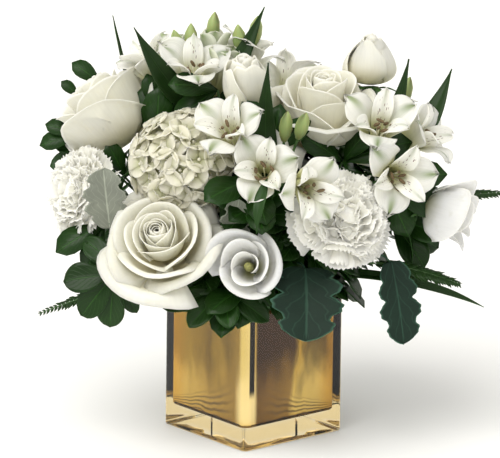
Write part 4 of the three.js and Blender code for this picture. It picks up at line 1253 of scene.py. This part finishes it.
GOLD_REFLECTION_BANDS = (  # painted reflections, highlight and shade: from the left face's far edge, over the bright front corner at a half, to the darker right face's
    (0.0, (0.34, 0.21, 0.025)),
    (0.12, (0.26, 0.16, 0.015)),
    (0.29, (0.14, 0.08, 0.006)),
    (0.34, (0.27, 0.17, 0.018)),
    (0.39, (0.15, 0.09, 0.008)),
    (0.468, (0.26, 0.16, 0.02)),
    (0.486, (0.6, 0.46, 0.14)),
    (0.506, (0.66, 0.52, 0.2)),
    (0.536, (0.5, 0.34, 0.09)),
    (0.552, (0.03, 0.012, 0.004)),
    (0.76, (0.04, 0.018, 0.005)),
    (0.795, (0.36, 0.22, 0.03)),
    (0.83, (0.09, 0.055, 0.01)),
    (0.95, (0.1, 0.065, 0.012)),
    (1.0, (0.26, 0.16, 0.03)),
)
# The paler painted reflections low on the mirror.
LOW_REFLECTION_BANDS = (
    (0.0, (0.6, 0.42, 0.1)),
    (0.2, (0.46, 0.3, 0.06)),
    (0.44, (0.3, 0.18, 0.03)),
    (0.478, (0.85, 0.68, 0.3)),
    (0.535, (0.9, 0.72, 0.34)),
    (0.556, (0.16, 0.08, 0.015)),
    (0.74, (0.26, 0.15, 0.03)),
    (0.79, (0.62, 0.45, 0.12)),
    (1.0, (0.5, 0.34, 0.09)),
)
BAND_WIDTH = 0.16  # the sum of X and Y over which the bands run, in metres
LOW_BANDS_END = (0.03, 0.068)  # the heights over which the low painted reflection bands give way, in metres
CALM_CORNER = (0.006, 0.03)  # from the front corner to where the bands sway in full, in metres
STREAK_MIDDLE = 0.522  # where the painted dark streak stands among the bands
STREAK_EDGE = (0.012, 0.017)  # from its middle to where it fades out
STREAK_FOOT = (0.036, 0.044)  # the heights over which it begins, in metres
LINING_FLOOR = 0.0165  # where the painted reflection lines begin, in metres
LINES = 4.5  # how many there are over their reach


def gold_surface():
    """A gold mirror with painted reflections: soft upright bands of painted highlight and shade, a painted
    dark streak by its corner and painted reflection lines near its floor.
    """
    colours = dict(Gold=(1, 1, 1, 1), Line=(0.12, 0.07, 0.03, 1), Corner_Streak=(0.004, 0.002, 0.001, 1))
    w = new_surface("gold_surface", **colours, Roughness=0.02)
    place, split = w.position()
    stretched = w.add("ShaderNodeMapping", {"Vector": place, "Scale": (60.0, 60.0, 22.0)}).outputs[0]
    waves = w.noise(stretched, 1.0, 2.0)
    swing = w.minus(waves, 0.5)
    side = w.plus(split["X"], split["Y"])
    calm = w.rise(w.math("ABSOLUTE", side), *CALM_CORNER)
    sway = w.times(w.times(swing, 0.03), calm)
    run = w.plus(w.times(w.plus(side, sway), 1 / BAND_WIDTH), 0.5)
    height = w.plus(split["Z"], w.times(swing, 0.05))
    upper = w.rise(height, *LOW_BANDS_END)
    # Painted reflections: the upright bands of painted highlight and shade, paler low down.
    colour = w.blend(upper, colour_ramp(w, run, LOW_REFLECTION_BANDS), colour_ramp(w, run, GOLD_REFLECTION_BANDS))
    # Painted reflection lines near the mirror's floor, curving as the reflection of its lower edge would.
    near = w.math("SUBTRACT", 1.0, w.times(w.math("ABSOLUTE", side), 2 / BAND_WIDTH), clamp=True)
    reach = w.plus(w.times(w.math("POWER", near, 1.3), 0.03), 0.006)
    level = w.plus(w.math("DIVIDE", w.minus(split["Z"], LINING_FLOOR), reach), w.times(swing, 0.5))
    stripe = w.apart(w.math("FRACT", w.times(level, LINES)), 0.5)
    fading = w.fall(level, 0.5, 1.25)
    lines = w.times(w.times(w.times(w.fall(stripe, 0.04, 0.34), fading), calm), 0.8)
    colour = w.blend(lines, colour, w.given["Line"])
    # A painted dark streak by the corner: the refraction of the glass's rounded front corner, painted on the
    # mirror as shade.
    upright = w.fall(w.apart(run, STREAK_MIDDLE), *STREAK_EDGE)
    streak = w.times(upright, w.rise(split["Z"], *STREAK_FOOT))
    colour = w.blend(streak, colour, w.given["Corner Streak"])
    colour = w.blend(1.0, colour, w.given["Gold"], "MULTIPLY")
    return w.deliver_surface(colour, w.plus(w.times(waves, 0.04), w.given["Roughness"]), waves)


def glass_finish():
    return finish("clear_glass", glass_surface, {}, bump=0.0002, Transmission_Weight=1.0, IOR=1.42)


def gold_finish():
    values = {"Gold": chosen("gold"), "Line": chosen("reflection_lines")}
    return finish("gold_mirror", gold_surface, values, bump=0.0003, Metallic=1.0)


def build_foam():
    """The foam block keeps its solid, and gets a crumbly wet finish."""
    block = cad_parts["floral_foam"]
    block.data.materials.clear()
    block.data.materials.append(plain_finish("floral_foam"))


# ---- Flowers ----
ANTHER_PROFILE = [(0.2, -3.2), (1.1, -2.0), (1.3, 0), (1.1, 2.0), (0.2, 3.2)]
BUD_PROFILE = [(0.4, -2), (2.0, -1), (4.2, 4), (5.0, 9), (4.4, 15), (2.2, 19.5), (0.4, 22)]


def build_blooms(kind, add, first_seed, slot, *materials):
    """Every bloom of a kind, each with a seed of its own."""
    blooms = [(name, bloom) for name, bloom in BLOOMS.items() if bloom.kind == kind]
    for k, (name, bloom) in enumerate(blooms):
        made = Surfaces()
        add(made, name, bloom, first_seed + k)
        settle(made.object(name + "_petals", *materials), slot, name + "_bloom")


def spread_over_ball(count, lowest):
    """Even directions over a ball, down to a lowest height of -1 to 1."""
    for k in range(count):
        z = 1 - (1 - lowest) * (k + 0.5) / count
        level = math.sqrt(1 - z * z)
        yield Vector((level * math.cos(k * GOLDEN_TURN), level * math.sin(k * GOLDEN_TURN), z))


def hydrangea_floret(material):
    """Four round petals about a little eye."""
    pattern = Surfaces()
    middle_line = [(0.6, -1.0), (3.8, 0.2), (7.8, 1.0), (10.4, 2.4)]

    def width(reach):
        return 0.8 + 6.0 * np.sin(math.pi * np.clip(reach, 0, 1) ** 1.3) ** 0.6

    for k in range(4):
        turn = k * math.pi / 2
        grid = fan_petal(6, 5, turn, middle_line, width, cup=0.12, ruffle=0.6, waves=3.0, phase=k)
        pattern.sheet(grid, np.full(6, 0.4), tone=0.25 * k)
    pattern.lathe([(0.3, -1.4), (1.3, -0.6), (1.4, 0.4), (0.4, 1.5)], 6)
    return pattern.object("floret_pattern", material)


def build_hydrangea():
    """Florets all over a ball of little stalks."""
    bloom = BLOOMS["hydrangea"]
    place, radius = bloom.place(), bloom.radius
    material = petal_finish("hydrangea_petal")
    draw = random.Random(5)
    spots, paths = [], []
    centre = Vector((0, 0, radius))
    for way in spread_over_ball(bpy.context.scene.centerpiece_sizes.hydrangea_florets, -0.72):
        out = place.to_3x3() @ way
        depth = radius * draw.uniform(0.84, 0.95)
        middle = place @ (centre + way * depth)
        lean = Vector((draw.uniform(-0.3, 0.3), draw.uniform(-0.3, 0.3), draw.uniform(-0.2, 0.3)))
        tilted = (out + lean).normalized()
        facing = tilted.orthogonal()
        facing.rotate(Quaternion(tilted, any_turn(draw)))
        spots.append((middle, tilted, facing, draw.uniform(0.9, 1.1), draw.random()))
        bow = [place @ (centre * 0.35), place @ (centre + way * depth * 0.4), middle - out * 1.4]
        paths.append([(point, 0.7) for point in curve_points(bow, 7)])
    florets = copies("hydrangea_florets", hydrangea_floret(material), spots, material)
    settle(florets, "hydrangea_petals", "hydrangea_bloom")
    pedicels = stalks("hydrangea_pedicels", paths, plain_finish("green_stem"), 6)
    settle(pedicels, "hydrangea_petals", "hydrangea_bloom")


def add_stamens(made, place, draw):
    """The six anthers of a floret. The paths of their filaments are given back."""
    paths = []
    for k in range(6):
        turn = k * math.pi / 3 + 0.4
        spread = draw.uniform(3.5, 7.5)
        tip = Vector((spread * math.cos(turn), spread * math.sin(turn) - 3, draw.uniform(27, 35)))
        bow = [Vector((0, 0, 3)), Vector((tip.x * 0.4, tip.y * 0.4 - 3, 18)), tip]
        line = [place @ point for point in curve_points(bow, 8)]
        paths.append([(point, 0.45) for point in line])
        way = Vector((draw.uniform(-1, 1), draw.uniform(-1, 1), 0.4)).normalized()
        made.lathe(ANTHER_PROFILE, 8, frame_at(line[-1], way), slot=ANTHER)
    return paths


def build_alstroemeria():
    """Each spray's open florets with their stamens, its closed florets and its buds."""
    materials = (
        tepal_finish("outer_tepal", "white", band=0.22),
        tepal_finish("inner_tepal", "white", flecks=0.95, tip=0.5),
        plain_finish("anther"),
        bud_finish(),
        tepal_finish("closed_tepal", "closed_tepal", band=0.45),
    )
    for seed, (name, spray) in enumerate(SPRAYS.items()):
        draw = random.Random(61 + seed)
        made = Surfaces()
        filaments = []
        for k, bloom in enumerate(spray.florets):
            add_open_floret(made, bloom, 10 * seed + k)
            filaments += add_stamens(made, bloom.place(), draw)
        for k, bloom in enumerate(spray.closed):
            add_closed_floret(made, bloom, 90 + 10 * seed + k)
        for at, axis in spray.buds:
            made.lathe(BUD_PROFILE, 12, frame_at(shown(at), aimed(axis)), tone=draw.random(), slot=BUD)
        nodes = [f"{name}_floret_{k + 1}" for k in range(len(spray.florets))]
        settle(made.object(name + "_flowers", *materials), "alstroemeria_petals", *nodes)
        threads = stalks(name + "_filaments", filaments, plain_finish("filament"), 6)
        settle(threads, "alstroemeria_petals", nodes[0])


# ---- Stalks and foliage ----
def add_cup(made, place, stalk):
    """The cup on a stalk, with narrow sepals that leave it and droop."""
    radius, (wide, deep) = stalk["radius"], stalk["cup"]
    cup = [(radius, -deep), (wide * 0.75, -deep * 0.72), (wide, -deep * 0.3), (wide * 0.9, 0)]
    made.lathe([(radius * 0.6, -deep - 1.5), *cup, (wide * 0.5, 0.3)], 14, place)

    def width(reach):
        return 0.3 + 2.4 * np.sin(math.pi * np.clip(reach, 0, 1) ** 0.7) ** 0.8

    for k in range(stalk["sepals"]):
        reach, droop = stalk["reach"], stalk["droop"]
        profile = [(wide * 0.8, -1.0), (wide + 2, 0.5), (reach * 0.6, 0.8), (reach, droop)]
        grid = fan_petal(9, 5, k * 2 * math.pi / stalk["sepals"], profile, width, cup=-0.3)
        made.sheet(grid, np.full(9, 0.45), place)


def spray_paths(spray):
    """The little stalks of a spray, from its fork to each floret and bud."""
    ends = [(bloom.base() - bloom.way() * STEM_GAP, bloom.way()) for bloom in spray.florets]
    ends += [(bloom.base(), bloom.way()) for bloom in spray.closed]
    ends += [(shown(at), aimed(axis)) for at, axis in spray.buds]
    fork = shown(spray.fork)
    return [[(point, 1.0) for point in curve_points([fork, end - axis * 14, end], 12)] for end, axis in ends]


def build_stalks():
    """Every flower's stalk, cup and sepals, the sprays' forks and buds' stalks, and their leaves."""
    paths = []
    greens = Surfaces()
    for name, bloom in BLOOMS.items():
        stalk = STALKS[bloom.kind]
        line = bloom_line(name)
        paths.append([(point, stalk["radius"]) for point in line])
        add_cup(greens, frame_at(line[-1], bloom.way(), bloom.roll), stalk)
    for name, spray in SPRAYS.items():
        fork = shown(spray.fork)
        paths.append([(point, 1.9) for point in stem_line(name + "_stem", fork, UP)])
        paths += spray_paths(spray)
        for k, leaf in enumerate(spray.leaves):
            add_leaf(greens, "lance", fork, leaf, 22, 9, slot=1, tone=0.3 * k)
        if name in BRACTS:
            root, bract = BRACTS[name]
            add_leaf(greens, "lance", shown(root), bract, 22, 7, slot=1, tone=0.9)
    nodes = [name + "_stem" for name in (*BLOOMS, *SPRAYS)]
    green = plain_finish("green_stem")
    settle(stalks("flower_stalks", paths, green), "green_stems", *nodes)
    settle(greens.object("cups_and_lance_leaves", green, leaf_finish("lance_leaf")), "green_stems", *nodes)


def build_silver_leaves():
    """The lobed leaves, two of them pale, on stalks of their own."""
    paths = []
    for seed, (name, (at, leaf)) in enumerate(SILVER_LEAVES.items()):
        root, growth = shown(at), aimed(leaf.grow)
        paths.append(tapered(stem_line(name, root + growth * 4, growth), 1.5, 0.48))
        made = Surfaces()
        add_leaf(made, "lobed", root, leaf, 49, 17, thickness=0.7, wave=1.6, tone=0.2 * seed)
        material = leaf_finish("silver_leaf" if name in PALE_LEAVES else "slate_leaf")
        settle(made.object(name + "_blade", material), "silver_leaves", name)
    settle(stalks("silver_leaf_stalks", paths, leaf_finish("slate_leaf")), "silver_leaves", *SILVER_LEAVES)


def build_twigs():
    """The twigs, each with broad glossy leaves near its tip."""
    paths = []
    count = 60
    for seed, (name, (tip, axis, leaves)) in enumerate(TWIGS.items()):
        line = stem_line(name, shown(tip), aimed(axis), count)
        paths.append(tapered(line, 1.6, 0.9))
        made = Surfaces()
        for k, (springs, leaf) in enumerate(leaves):
            root = line[round(springs * (count - 1))]
            add_leaf(made, "obovate", root, leaf, 19, 9, tone=(0.37 * k + 0.2 * seed) % 1)
        settle(made.object(name + "_leaves", leaf_finish("glossy_leaf")), "glossy_leaves", name)
    settle(stalks("twigs", paths, plain_finish("green_stem")), "glossy_leaves", *TWIGS)


def frond_stalk(name, at, leaf):
    growth = aimed(leaf.grow)
    return [(point, 1.2) for point in stem_line(name, shown(at) + growth * 6, growth)]


def build_fronds():
    """Ferns of paired leaflets along a rib, and blades of grass."""
    material = leaf_finish("lance_leaf")
    pattern = small_leaf("leaflet_pattern", "lance", 10.0, 4.4, 0.3, material)
    paths, spots = [], []
    draw = random.Random(71)
    for name, (at, fern) in FERNS.items():
        place = blade_frame(shown(at), aimed(fern.grow), aimed(fern.face))
        radius = fern.length / fern.bend
        turns = [fern.bend * s for s in np.linspace(0, 1, 30)]
        rib = [place @ Vector((0, -radius * (1 - math.cos(a)), radius * math.sin(a))) for a in turns]
        paths += [tapered(rib, 1.1, 0.3), frond_stalk(name, at, fern)]
        across, upper = place.to_3x3().col[0], place.to_3x3().col[1]
        for k in range(2, 29):
            run = (rib[k + 1] - rib[k - 1]).normalized()
            size = (0.35 + 0.8 * math.sin(math.pi * (k / 30) ** 0.8)) * fern.width / 22
            for side in (-1, 1):
                way = (across * side + run * 1.1 + upper * draw.uniform(-0.15, 0.2)).normalized()
                spots.append((rib[k], way, upper, size, draw.random()))
    blades = Surfaces()
    for name, (at, grass) in GRASSES.items():
        paths.append(frond_stalk(name, at, grass))
        add_leaf(blades, "strap", shown(at), grass, 33, 7, wave=0.3)
    settle(copies("fern_leaflets", pattern, spots, material), "fronds", *FERNS)
    settle(blades.object("grass_blades", material), "fronds", *GRASSES)
    settle(stalks("frond_stalks", paths, plain_finish("green_stem"), 8), "fronds", *FERNS, *GRASSES)


# ---- Filler leaves ----
HULL = dict(middle=(0, 0, 186), reach=(118, 88, 66))  # the room that the flowers fill
ENTRY = 0.22  # how far out a shoot enters the foam, as a share of its tip's
SHOOT_ROOT = FOAM_TOP - 10  # the height at which shoots and sprigs begin
SHOOT_POINTS = 24
RIM_EDGE = 37  # from the middle of the foam to where its sides meet the glass
LEAF_PROBES = (8, 24, 41)  # where along a leaf it has to be clear of the flowers


def flower_heads():
    """The middle, axis and radius of every bloom and open floret."""
    for bloom in BLOOMS.values():
        yield bloom.base() + bloom.way() * bloom.height * 0.5, bloom.way(), bloom.radius
    for spray in SPRAYS.values():
        for bloom in spray.florets:
            yield shown(bloom.at) - bloom.way() * 10, bloom.way(), bloom.radius * 0.75


FLOWER_HEADS = list(flower_heads())


def clear_of_blooms(point):
    """Whether a point is neither within a flower nor in front of its face."""
    for middle, axis, radius in FLOWER_HEADS:
        off = point - middle
        ahead = off.dot(axis)
        if off.length < 1.05 * radius or (ahead > 0 and (off - axis * ahead).length < 1.12 * radius):
            return False
    return True


def leafy_shoots(draw, count):
    """Shoots that fan out of the foam between the flowers, each cut where it meets one."""
    lines = []
    for way in spread_over_ball(count, -0.25):
        share = draw.uniform(0.5, 0.92)
        reach = Vector(HULL["reach"]) * Vector(way) * share
        head = shown(Vector(HULL["middle"]) + reach)
        entry = Vector((head.x, head.y, 0)) * ENTRY
        root, bow = entry + UP * SHOOT_ROOT, entry * 1.3 + UP * (FOAM_TOP + 20)
        line = curve_points([root, bow, (bow + head) / 2 + UP * 12, head], SHOOT_POINTS)
        clear = next((k for k, point in enumerate(line) if not clear_of_blooms(point)), len(line))
        if clear > 6:
            lines.append(line[:clear])
    return lines


def leaves_on(draw, lines, first, tries, size):
    """Places for leaves along shoots, turned out and up, where no flower is in the way."""
    spots = []
    for k in range(tries):
        line = lines[k % len(lines)]
        place = round(draw.uniform(first, 1) * (len(line) - 1))
        root = line[place]
        run = (line[min(place + 1, len(line) - 1)] - line[place - 1]).normalized()
        around = run.orthogonal()
        around.rotate(Quaternion(run, draw.uniform(0, math.tau)))
        growth = (around + run * draw.uniform(0.2, 0.9)).normalized()
        away = Vector((root.x, root.y, 0)).normalized()
        facing = (away * draw.uniform(0.4, 1.2) + UP).normalized()
        scale = size * draw.uniform(0.75, 1.15)
        if all(clear_of_blooms(root + growth * reach * scale) for reach in LEAF_PROBES):
            spots.append((root, growth, facing, scale, draw.random()))
    return spots


def add_sprigs(draw, paths, spots):
    """The sprigs of the layout, each on a thin stalk."""
    for at, size, ways in SPRIGS:
        tip = shown(at)
        entry = Vector((tip.x, tip.y, 0)) * ENTRY + UP * SHOOT_ROOT
        bow = [entry, entry + UP * 30, (entry + tip) / 2, tip]
        paths.append([(point, 0.9) for point in curve_points(bow, 16)])
        spots += [(tip, aimed(way), aimed(SPRIG_FACE), size, draw.random()) for way in ways]


def add_rim_leaves(draw, paths, spots, count):
    """Short leaves that lean out over the rim of the vase."""
    for k in range(count):
        turn = 2 * math.pi * (k + draw.uniform(-0.3, 0.3)) / count
        way = Vector((math.cos(turn), math.sin(turn), 0))
        edge = RIM_EDGE / max(abs(way.x), abs(way.y))
        root = way * edge * 0.8 + UP * (FOAM_TOP - 4)
        tip = way * (edge * 1.02) + UP * (FOAM_TOP + draw.uniform(2, 14))
        paths.append([(point, 0.9) for point in curve_points([root, root + UP * 12, tip], 8)])
        growth = way + UP * draw.uniform(-0.75, 0.2) + Vector((-way.y, way.x, 0)) * draw.uniform(-0.9, 0.9)
        spots.append((tip, growth.normalized(), way + UP, draw.uniform(0.8, 1.05), draw.random()))


def build_filler_leaves():
    """Leafy shoots between the flowers, leaves on their stalks and short sprigs round the rim."""
    sizes = bpy.context.scene.centerpiece_sizes
    draw = random.Random(81)
    material = leaf_finish("glossy_leaf")
    pattern = small_leaf("filler_pattern", "obovate", 40.0, 20.0, 0.5, material, rows=8)
    shoots = leafy_shoots(draw, sizes.shoots)
    spots = leaves_on(draw, shoots, 0.25, sizes.shoot_leaves, 1.0)
    spots += leaves_on(draw, [bloom_line(name)[:-3] for name in BLOOMS], 0.35, sizes.stalk_leaves, 0.9)
    last = SHOOT_POINTS - 1
    paths = [[(point, 1.3 - 0.6 * k / last) for k, point in enumerate(line)] for line in shoots]
    add_sprigs(draw, paths, spots)
    add_rim_leaves(draw, paths, spots, sizes.rim_leaves)
    settle(copies("filler_leaves", pattern, spots, material, 0.15), "glossy_leaves")
    settle(stalks("filler_shoots", paths, plain_finish("green_stem"), 6), "glossy_leaves")


# ---- Stage ----
CAMERA = dict(elevation=15.9, lean=0.7, aim=(-3.7, 0, 148.6), distance=8000, lens=799.5, sensor=36)
KEY_LIGHT = dict(direction=(-0.5, 0.75, 1.15), spread=50.0, power=2.3)
WARM_WHITE = (1, 0.985, 0.94)
FLOOR_SIDE = 30.0
PAPER = {"First": (0.93, 0.93, 0.93, 1), "Second": (0.94, 0.94, 0.94, 1), "Grain": 2.0, "Roughness": 0.6}


def set_world():
    """Even light from all round."""
    world = bpy.data.worlds.new("studio")
    world.use_nodes = True
    background = world.node_tree.nodes["Background"]
    background.inputs["Color"].default_value = (*WARM_WHITE, 1)
    background.inputs["Strength"].default_value = bpy.context.scene.centerpiece_sizes.ambience
    bpy.context.scene.world = world


def add_key_light():
    """A broad soft light, as even over the floor as over the flowers."""
    lamp = bpy.data.lights.new("key", "SUN")
    lamp.angle, lamp.energy = math.radians(KEY_LIGHT["spread"]), KEY_LIGHT["power"]
    lamp.color = WARM_WHITE
    light = linked("key", lamp)
    light.rotation_mode = "QUATERNION"
    light.rotation_quaternion = aimed(KEY_LIGHT["direction"]).to_track_quat("Z", "Y")
    light.visible_transmission = False  # so the gold has no bright specks behind the glass


def add_camera():
    """A long lens from the photograph's side."""
    low, bearing = math.radians(CAMERA["elevation"]), FRONT_BEARING
    back = Vector((math.sin(bearing) * math.cos(low), -math.cos(bearing) * math.cos(low), math.sin(low)))
    lens = bpy.data.cameras.new("camera")
    lens.sensor_width, lens.lens = CAMERA["sensor"], CAMERA["lens"]
    camera = linked("camera", lens)
    camera.location = (shown(CAMERA["aim"]) + back * CAMERA["distance"]) * MM
    camera.rotation_mode = "QUATERNION"
    lean = Quaternion((0, 0, 1), math.radians(CAMERA["lean"]))
    camera.rotation_quaternion = back.to_track_quat("Z", "Y") @ lean
    bpy.context.scene.camera = camera


def add_floor():
    half = FLOOR_SIDE / 2
    mesh = bpy.data.meshes.new("floor")
    mesh.from_pydata([(-half, -half, 0), (half, -half, 0), (half, half, 0), (-half, half, 0)], [], [range(4)])
    mesh.materials.append(finish("white_paper", plain_surface, PAPER, bump=0.0))
    linked("floor", mesh)


def build_stage():
    set_world()
    add_floor()
    add_key_light()
    add_camera()
    bpy.context.scene.view_settings.view_transform = "Standard"


# ---- The add-on ----
def tint(name, description, value):
    return bpy.props.FloatVectorProperty(
        name=name, description=description, subtype="COLOR", size=3, min=0.0, max=1.0, default=value
    )


def number(name, description, value):
    return bpy.props.IntProperty(name=name, description=description, default=value, min=1)


class CenterpieceColours(bpy.types.PropertyGroup):
    """The colours of the flowers, foliage and vase."""

    cream: tint("Rose face", "Open face of a rose petal", (0.89, 0.875, 0.74))
    cream_heart: tint("Rose heart", "Foot of a rose petal", (0.8, 0.72, 0.42))
    cream_rim: tint("Rose rim", "Rim of a rose petal", (0.92, 0.9, 0.8))
    carnation: tint("Carnation", "Face of a carnation petal", (0.97, 0.96, 0.88))
    carnation_heart: tint("Carnation heart", "Foot of a carnation petal", (0.95, 0.93, 0.78))
    white: tint("White", "Face of the white petals", (0.93, 0.92, 0.83))
    white_rim: tint("White rim", "Rim of the white petals", (0.95, 0.94, 0.89))
    cool_white: tint("Lisianthus", "Face of a lisianthus petal", (0.88, 0.88, 0.86))
    olive: tint("Olive", "Throat and pistil of a lisianthus", (0.3, 0.3, 0.09))
    lime: tint("Hydrangea", "Face of a hydrangea petal", (0.84, 0.8, 0.62))
    lime_heart: tint("Hydrangea heart", "Middle of a hydrangea floret", (0.55, 0.56, 0.28))
    throat: tint("Throat", "Throat of an alstroemeria", (0.62, 0.62, 0.28))
    stripe: tint("Stripe", "Green stripe and tip of a tepal", (0.16, 0.24, 0.07))
    fleck: tint("Fleck", "Flecks of the inner tepals", (0.1, 0.012, 0.016))
    bud: tint("Bud", "Alstroemeria bud", (0.3, 0.4, 0.14))
    closed_tepal: tint("Closed tepal", "Back of a closed alstroemeria's tepals", (0.74, 0.76, 0.58))
    anther: tint("Anther", "Anther", (0.09, 0.06, 0.028))
    filament: tint("Filament", "Filament of a stamen", (0.75, 0.72, 0.6))
    stem: tint("Stem", "Stalks, cups and sepals", (0.025, 0.07, 0.012))
    glossy_leaf: tint("Glossy leaf", "Twig leaves", (0.01, 0.036, 0.0045))
    lance_leaf: tint("Lance leaf", "Long leaves, ferns and grass", (0.012, 0.038, 0.006))
    silver_leaf: tint("Silver leaf", "Pale lobed leaves", (0.24, 0.26, 0.21))
    slate_leaf: tint("Slate leaf", "Dark lobed leaves", (0.01, 0.026, 0.017))
    gold: tint("Gold", "Mirror of the vase", (1.0, 0.96, 0.9))
    # The colour of the painted reflection lines near the mirror's floor.
    reflection_lines: tint("Reflection lines", "Dark lines near the mirror's floor", (0.12, 0.07, 0.03))
    foam: tint("Foam", "Floral foam", (0.02, 0.05, 0.015))


class CenterpieceSizes(bpy.types.PropertyGroup):
    """How many petals and leaves there are, and how bright the room is."""

    rose_petals: number("Rose petals", "Petals of an open rose", 28)
    carnation_petals: number("Carnation petals", "Petals of a carnation", 62)
    hydrangea_florets: number("Hydrangea florets", "Florets of the hydrangea", 112)
    shoots: number("Shoots", "Leafy shoots between the flowers", 64)
    shoot_leaves: number("Shoot leaves", "Leaves tried along the leafy shoots", 2200)
    stalk_leaves: number("Stalk leaves", "Leaves tried along the flower stalks", 200)
    rim_leaves: number("Rim leaves", "Short sprigs round the rim", 44)
    ambience: bpy.props.FloatProperty(
        name="Ambience", description="Strength of the room's light", default=0.8, min=0.0
    )


class CENTERPIECE_OT_stage(bpy.types.Operator):
    """Adds the floor, lights and camera"""

    bl_idname = "centerpiece.stage"
    bl_label = "Stage"

    def execute(self, context):
        build_stage()
        return {"FINISHED"}


class CENTERPIECE_OT_vase(bpy.types.Operator):
    """Adds the glass vase and its gold lining"""

    bl_idname = "centerpiece.vase"
    bl_label = "Vase"

    def execute(self, context):
        build_vase()
        return {"FINISHED"}


class CENTERPIECE_OT_foam(bpy.types.Operator):
    """Finishes the floral foam"""

    bl_idname = "centerpiece.foam"
    bl_label = "Foam"

    def execute(self, context):
        build_foam()
        return {"FINISHED"}


class CENTERPIECE_OT_roses(bpy.types.Operator):
    """Adds the open roses"""

    bl_idname = "centerpiece.roses"
    bl_label = "Roses"

    def execute(self, context):
        build_blooms("rose", add_rose, 11, "rose_petals", petal_finish("rose_petal"))
        return {"FINISHED"}


class CENTERPIECE_OT_buds(bpy.types.Operator):
    """Adds the rosebuds"""

    bl_idname = "centerpiece.buds"
    bl_label = "Rosebuds"

    def execute(self, context):
        build_blooms("bud", add_bud, 31, "rose_petals", petal_finish("rose_petal"))
        return {"FINISHED"}


class CENTERPIECE_OT_lisianthus(bpy.types.Operator):
    """Adds the open and the half-closed lisianthus"""

    bl_idname = "centerpiece.lisianthus"
    bl_label = "Lisianthus"

    def execute(self, context):
        materials = petal_finish("lisianthus_petal"), plain_finish("olive_pistil")
        build_blooms("lisianthus", add_lisianthus, 41, "lisianthus_petals", *materials)
        return {"FINISHED"}


class CENTERPIECE_OT_carnations(bpy.types.Operator):
    """Adds the carnations"""

    bl_idname = "centerpiece.carnations"
    bl_label = "Carnations"

    def execute(self, context):
        build_blooms("carnation", add_carnation, 51, "carnation_petals", petal_finish("carnation_petal"))
        return {"FINISHED"}


class CENTERPIECE_OT_hydrangea(bpy.types.Operator):
    """Adds the hydrangea"""

    bl_idname = "centerpiece.hydrangea"
    bl_label = "Hydrangea"

    def execute(self, context):
        build_hydrangea()
        return {"FINISHED"}


class CENTERPIECE_OT_alstroemeria(bpy.types.Operator):
    """Adds the flowers of the alstroemeria sprays"""

    bl_idname = "centerpiece.alstroemeria"
    bl_label = "Alstroemeria"

    def execute(self, context):
        build_alstroemeria()
        return {"FINISHED"}


class CENTERPIECE_OT_stalks(bpy.types.Operator):
    """Adds the stalks, cups and lance leaves"""

    bl_idname = "centerpiece.stalks"
    bl_label = "Stalks"

    def execute(self, context):
        build_stalks()
        return {"FINISHED"}


class CENTERPIECE_OT_silver_leaves(bpy.types.Operator):
    """Adds the lobed leaves"""

    bl_idname = "centerpiece.silver_leaves"
    bl_label = "Silver leaves"

    def execute(self, context):
        build_silver_leaves()
        return {"FINISHED"}


class CENTERPIECE_OT_twigs(bpy.types.Operator):
    """Adds the twigs of glossy leaves"""

    bl_idname = "centerpiece.twigs"
    bl_label = "Twigs"

    def execute(self, context):
        build_twigs()
        return {"FINISHED"}


class CENTERPIECE_OT_fronds(bpy.types.Operator):
    """Adds the ferns and grasses"""

    bl_idname = "centerpiece.fronds"
    bl_label = "Fronds"

    def execute(self, context):
        build_fronds()
        return {"FINISHED"}


class CENTERPIECE_OT_filler_leaves(bpy.types.Operator):
    """Adds leaves between the flowers and round the rim"""

    bl_idname = "centerpiece.filler_leaves"
    bl_label = "Filler leaves"

    def execute(self, context):
        build_filler_leaves()
        return {"FINISHED"}


OPERATORS = (
    CENTERPIECE_OT_stage,
    CENTERPIECE_OT_vase,
    CENTERPIECE_OT_foam,
    CENTERPIECE_OT_roses,
    CENTERPIECE_OT_buds,
    CENTERPIECE_OT_lisianthus,
    CENTERPIECE_OT_carnations,
    CENTERPIECE_OT_hydrangea,
    CENTERPIECE_OT_alstroemeria,
    CENTERPIECE_OT_stalks,
    CENTERPIECE_OT_silver_leaves,
    CENTERPIECE_OT_twigs,
    CENTERPIECE_OT_fronds,
    CENTERPIECE_OT_filler_leaves,
)


class CENTERPIECE_PT_panel(bpy.types.Panel):
    """Lists the pieces in the order in which they are built"""

    bl_label = "Centerpiece"
    bl_space_type = "VIEW_3D"
    bl_region_type = "UI"
    bl_category = "Centerpiece"

    def draw(self, context):
        for made in OPERATORS:
            self.layout.operator(made.bl_idname)


CLASSES = (CenterpieceColours, CenterpieceSizes, *OPERATORS, CENTERPIECE_PT_panel)


def register():
    for made in CLASSES:
        bpy.utils.register_class(made)
    bpy.types.Scene.centerpiece_colours = bpy.props.PointerProperty(type=CenterpieceColours)
    bpy.types.Scene.centerpiece_sizes = bpy.props.PointerProperty(type=CenterpieceSizes)


def unregister():
    del bpy.types.Scene.centerpiece_sizes
    del bpy.types.Scene.centerpiece_colours
    for made in reversed(CLASSES):
        bpy.utils.unregister_class(made)


def main():
    register()
    for made in OPERATORS:
        group, name = made.bl_idname.split(".")
        if getattr(getattr(bpy.ops, group), name)() != {"FINISHED"}:
            raise RuntimeError(made.bl_label + " didn't finish")


if __name__ == "__main__":
    main()
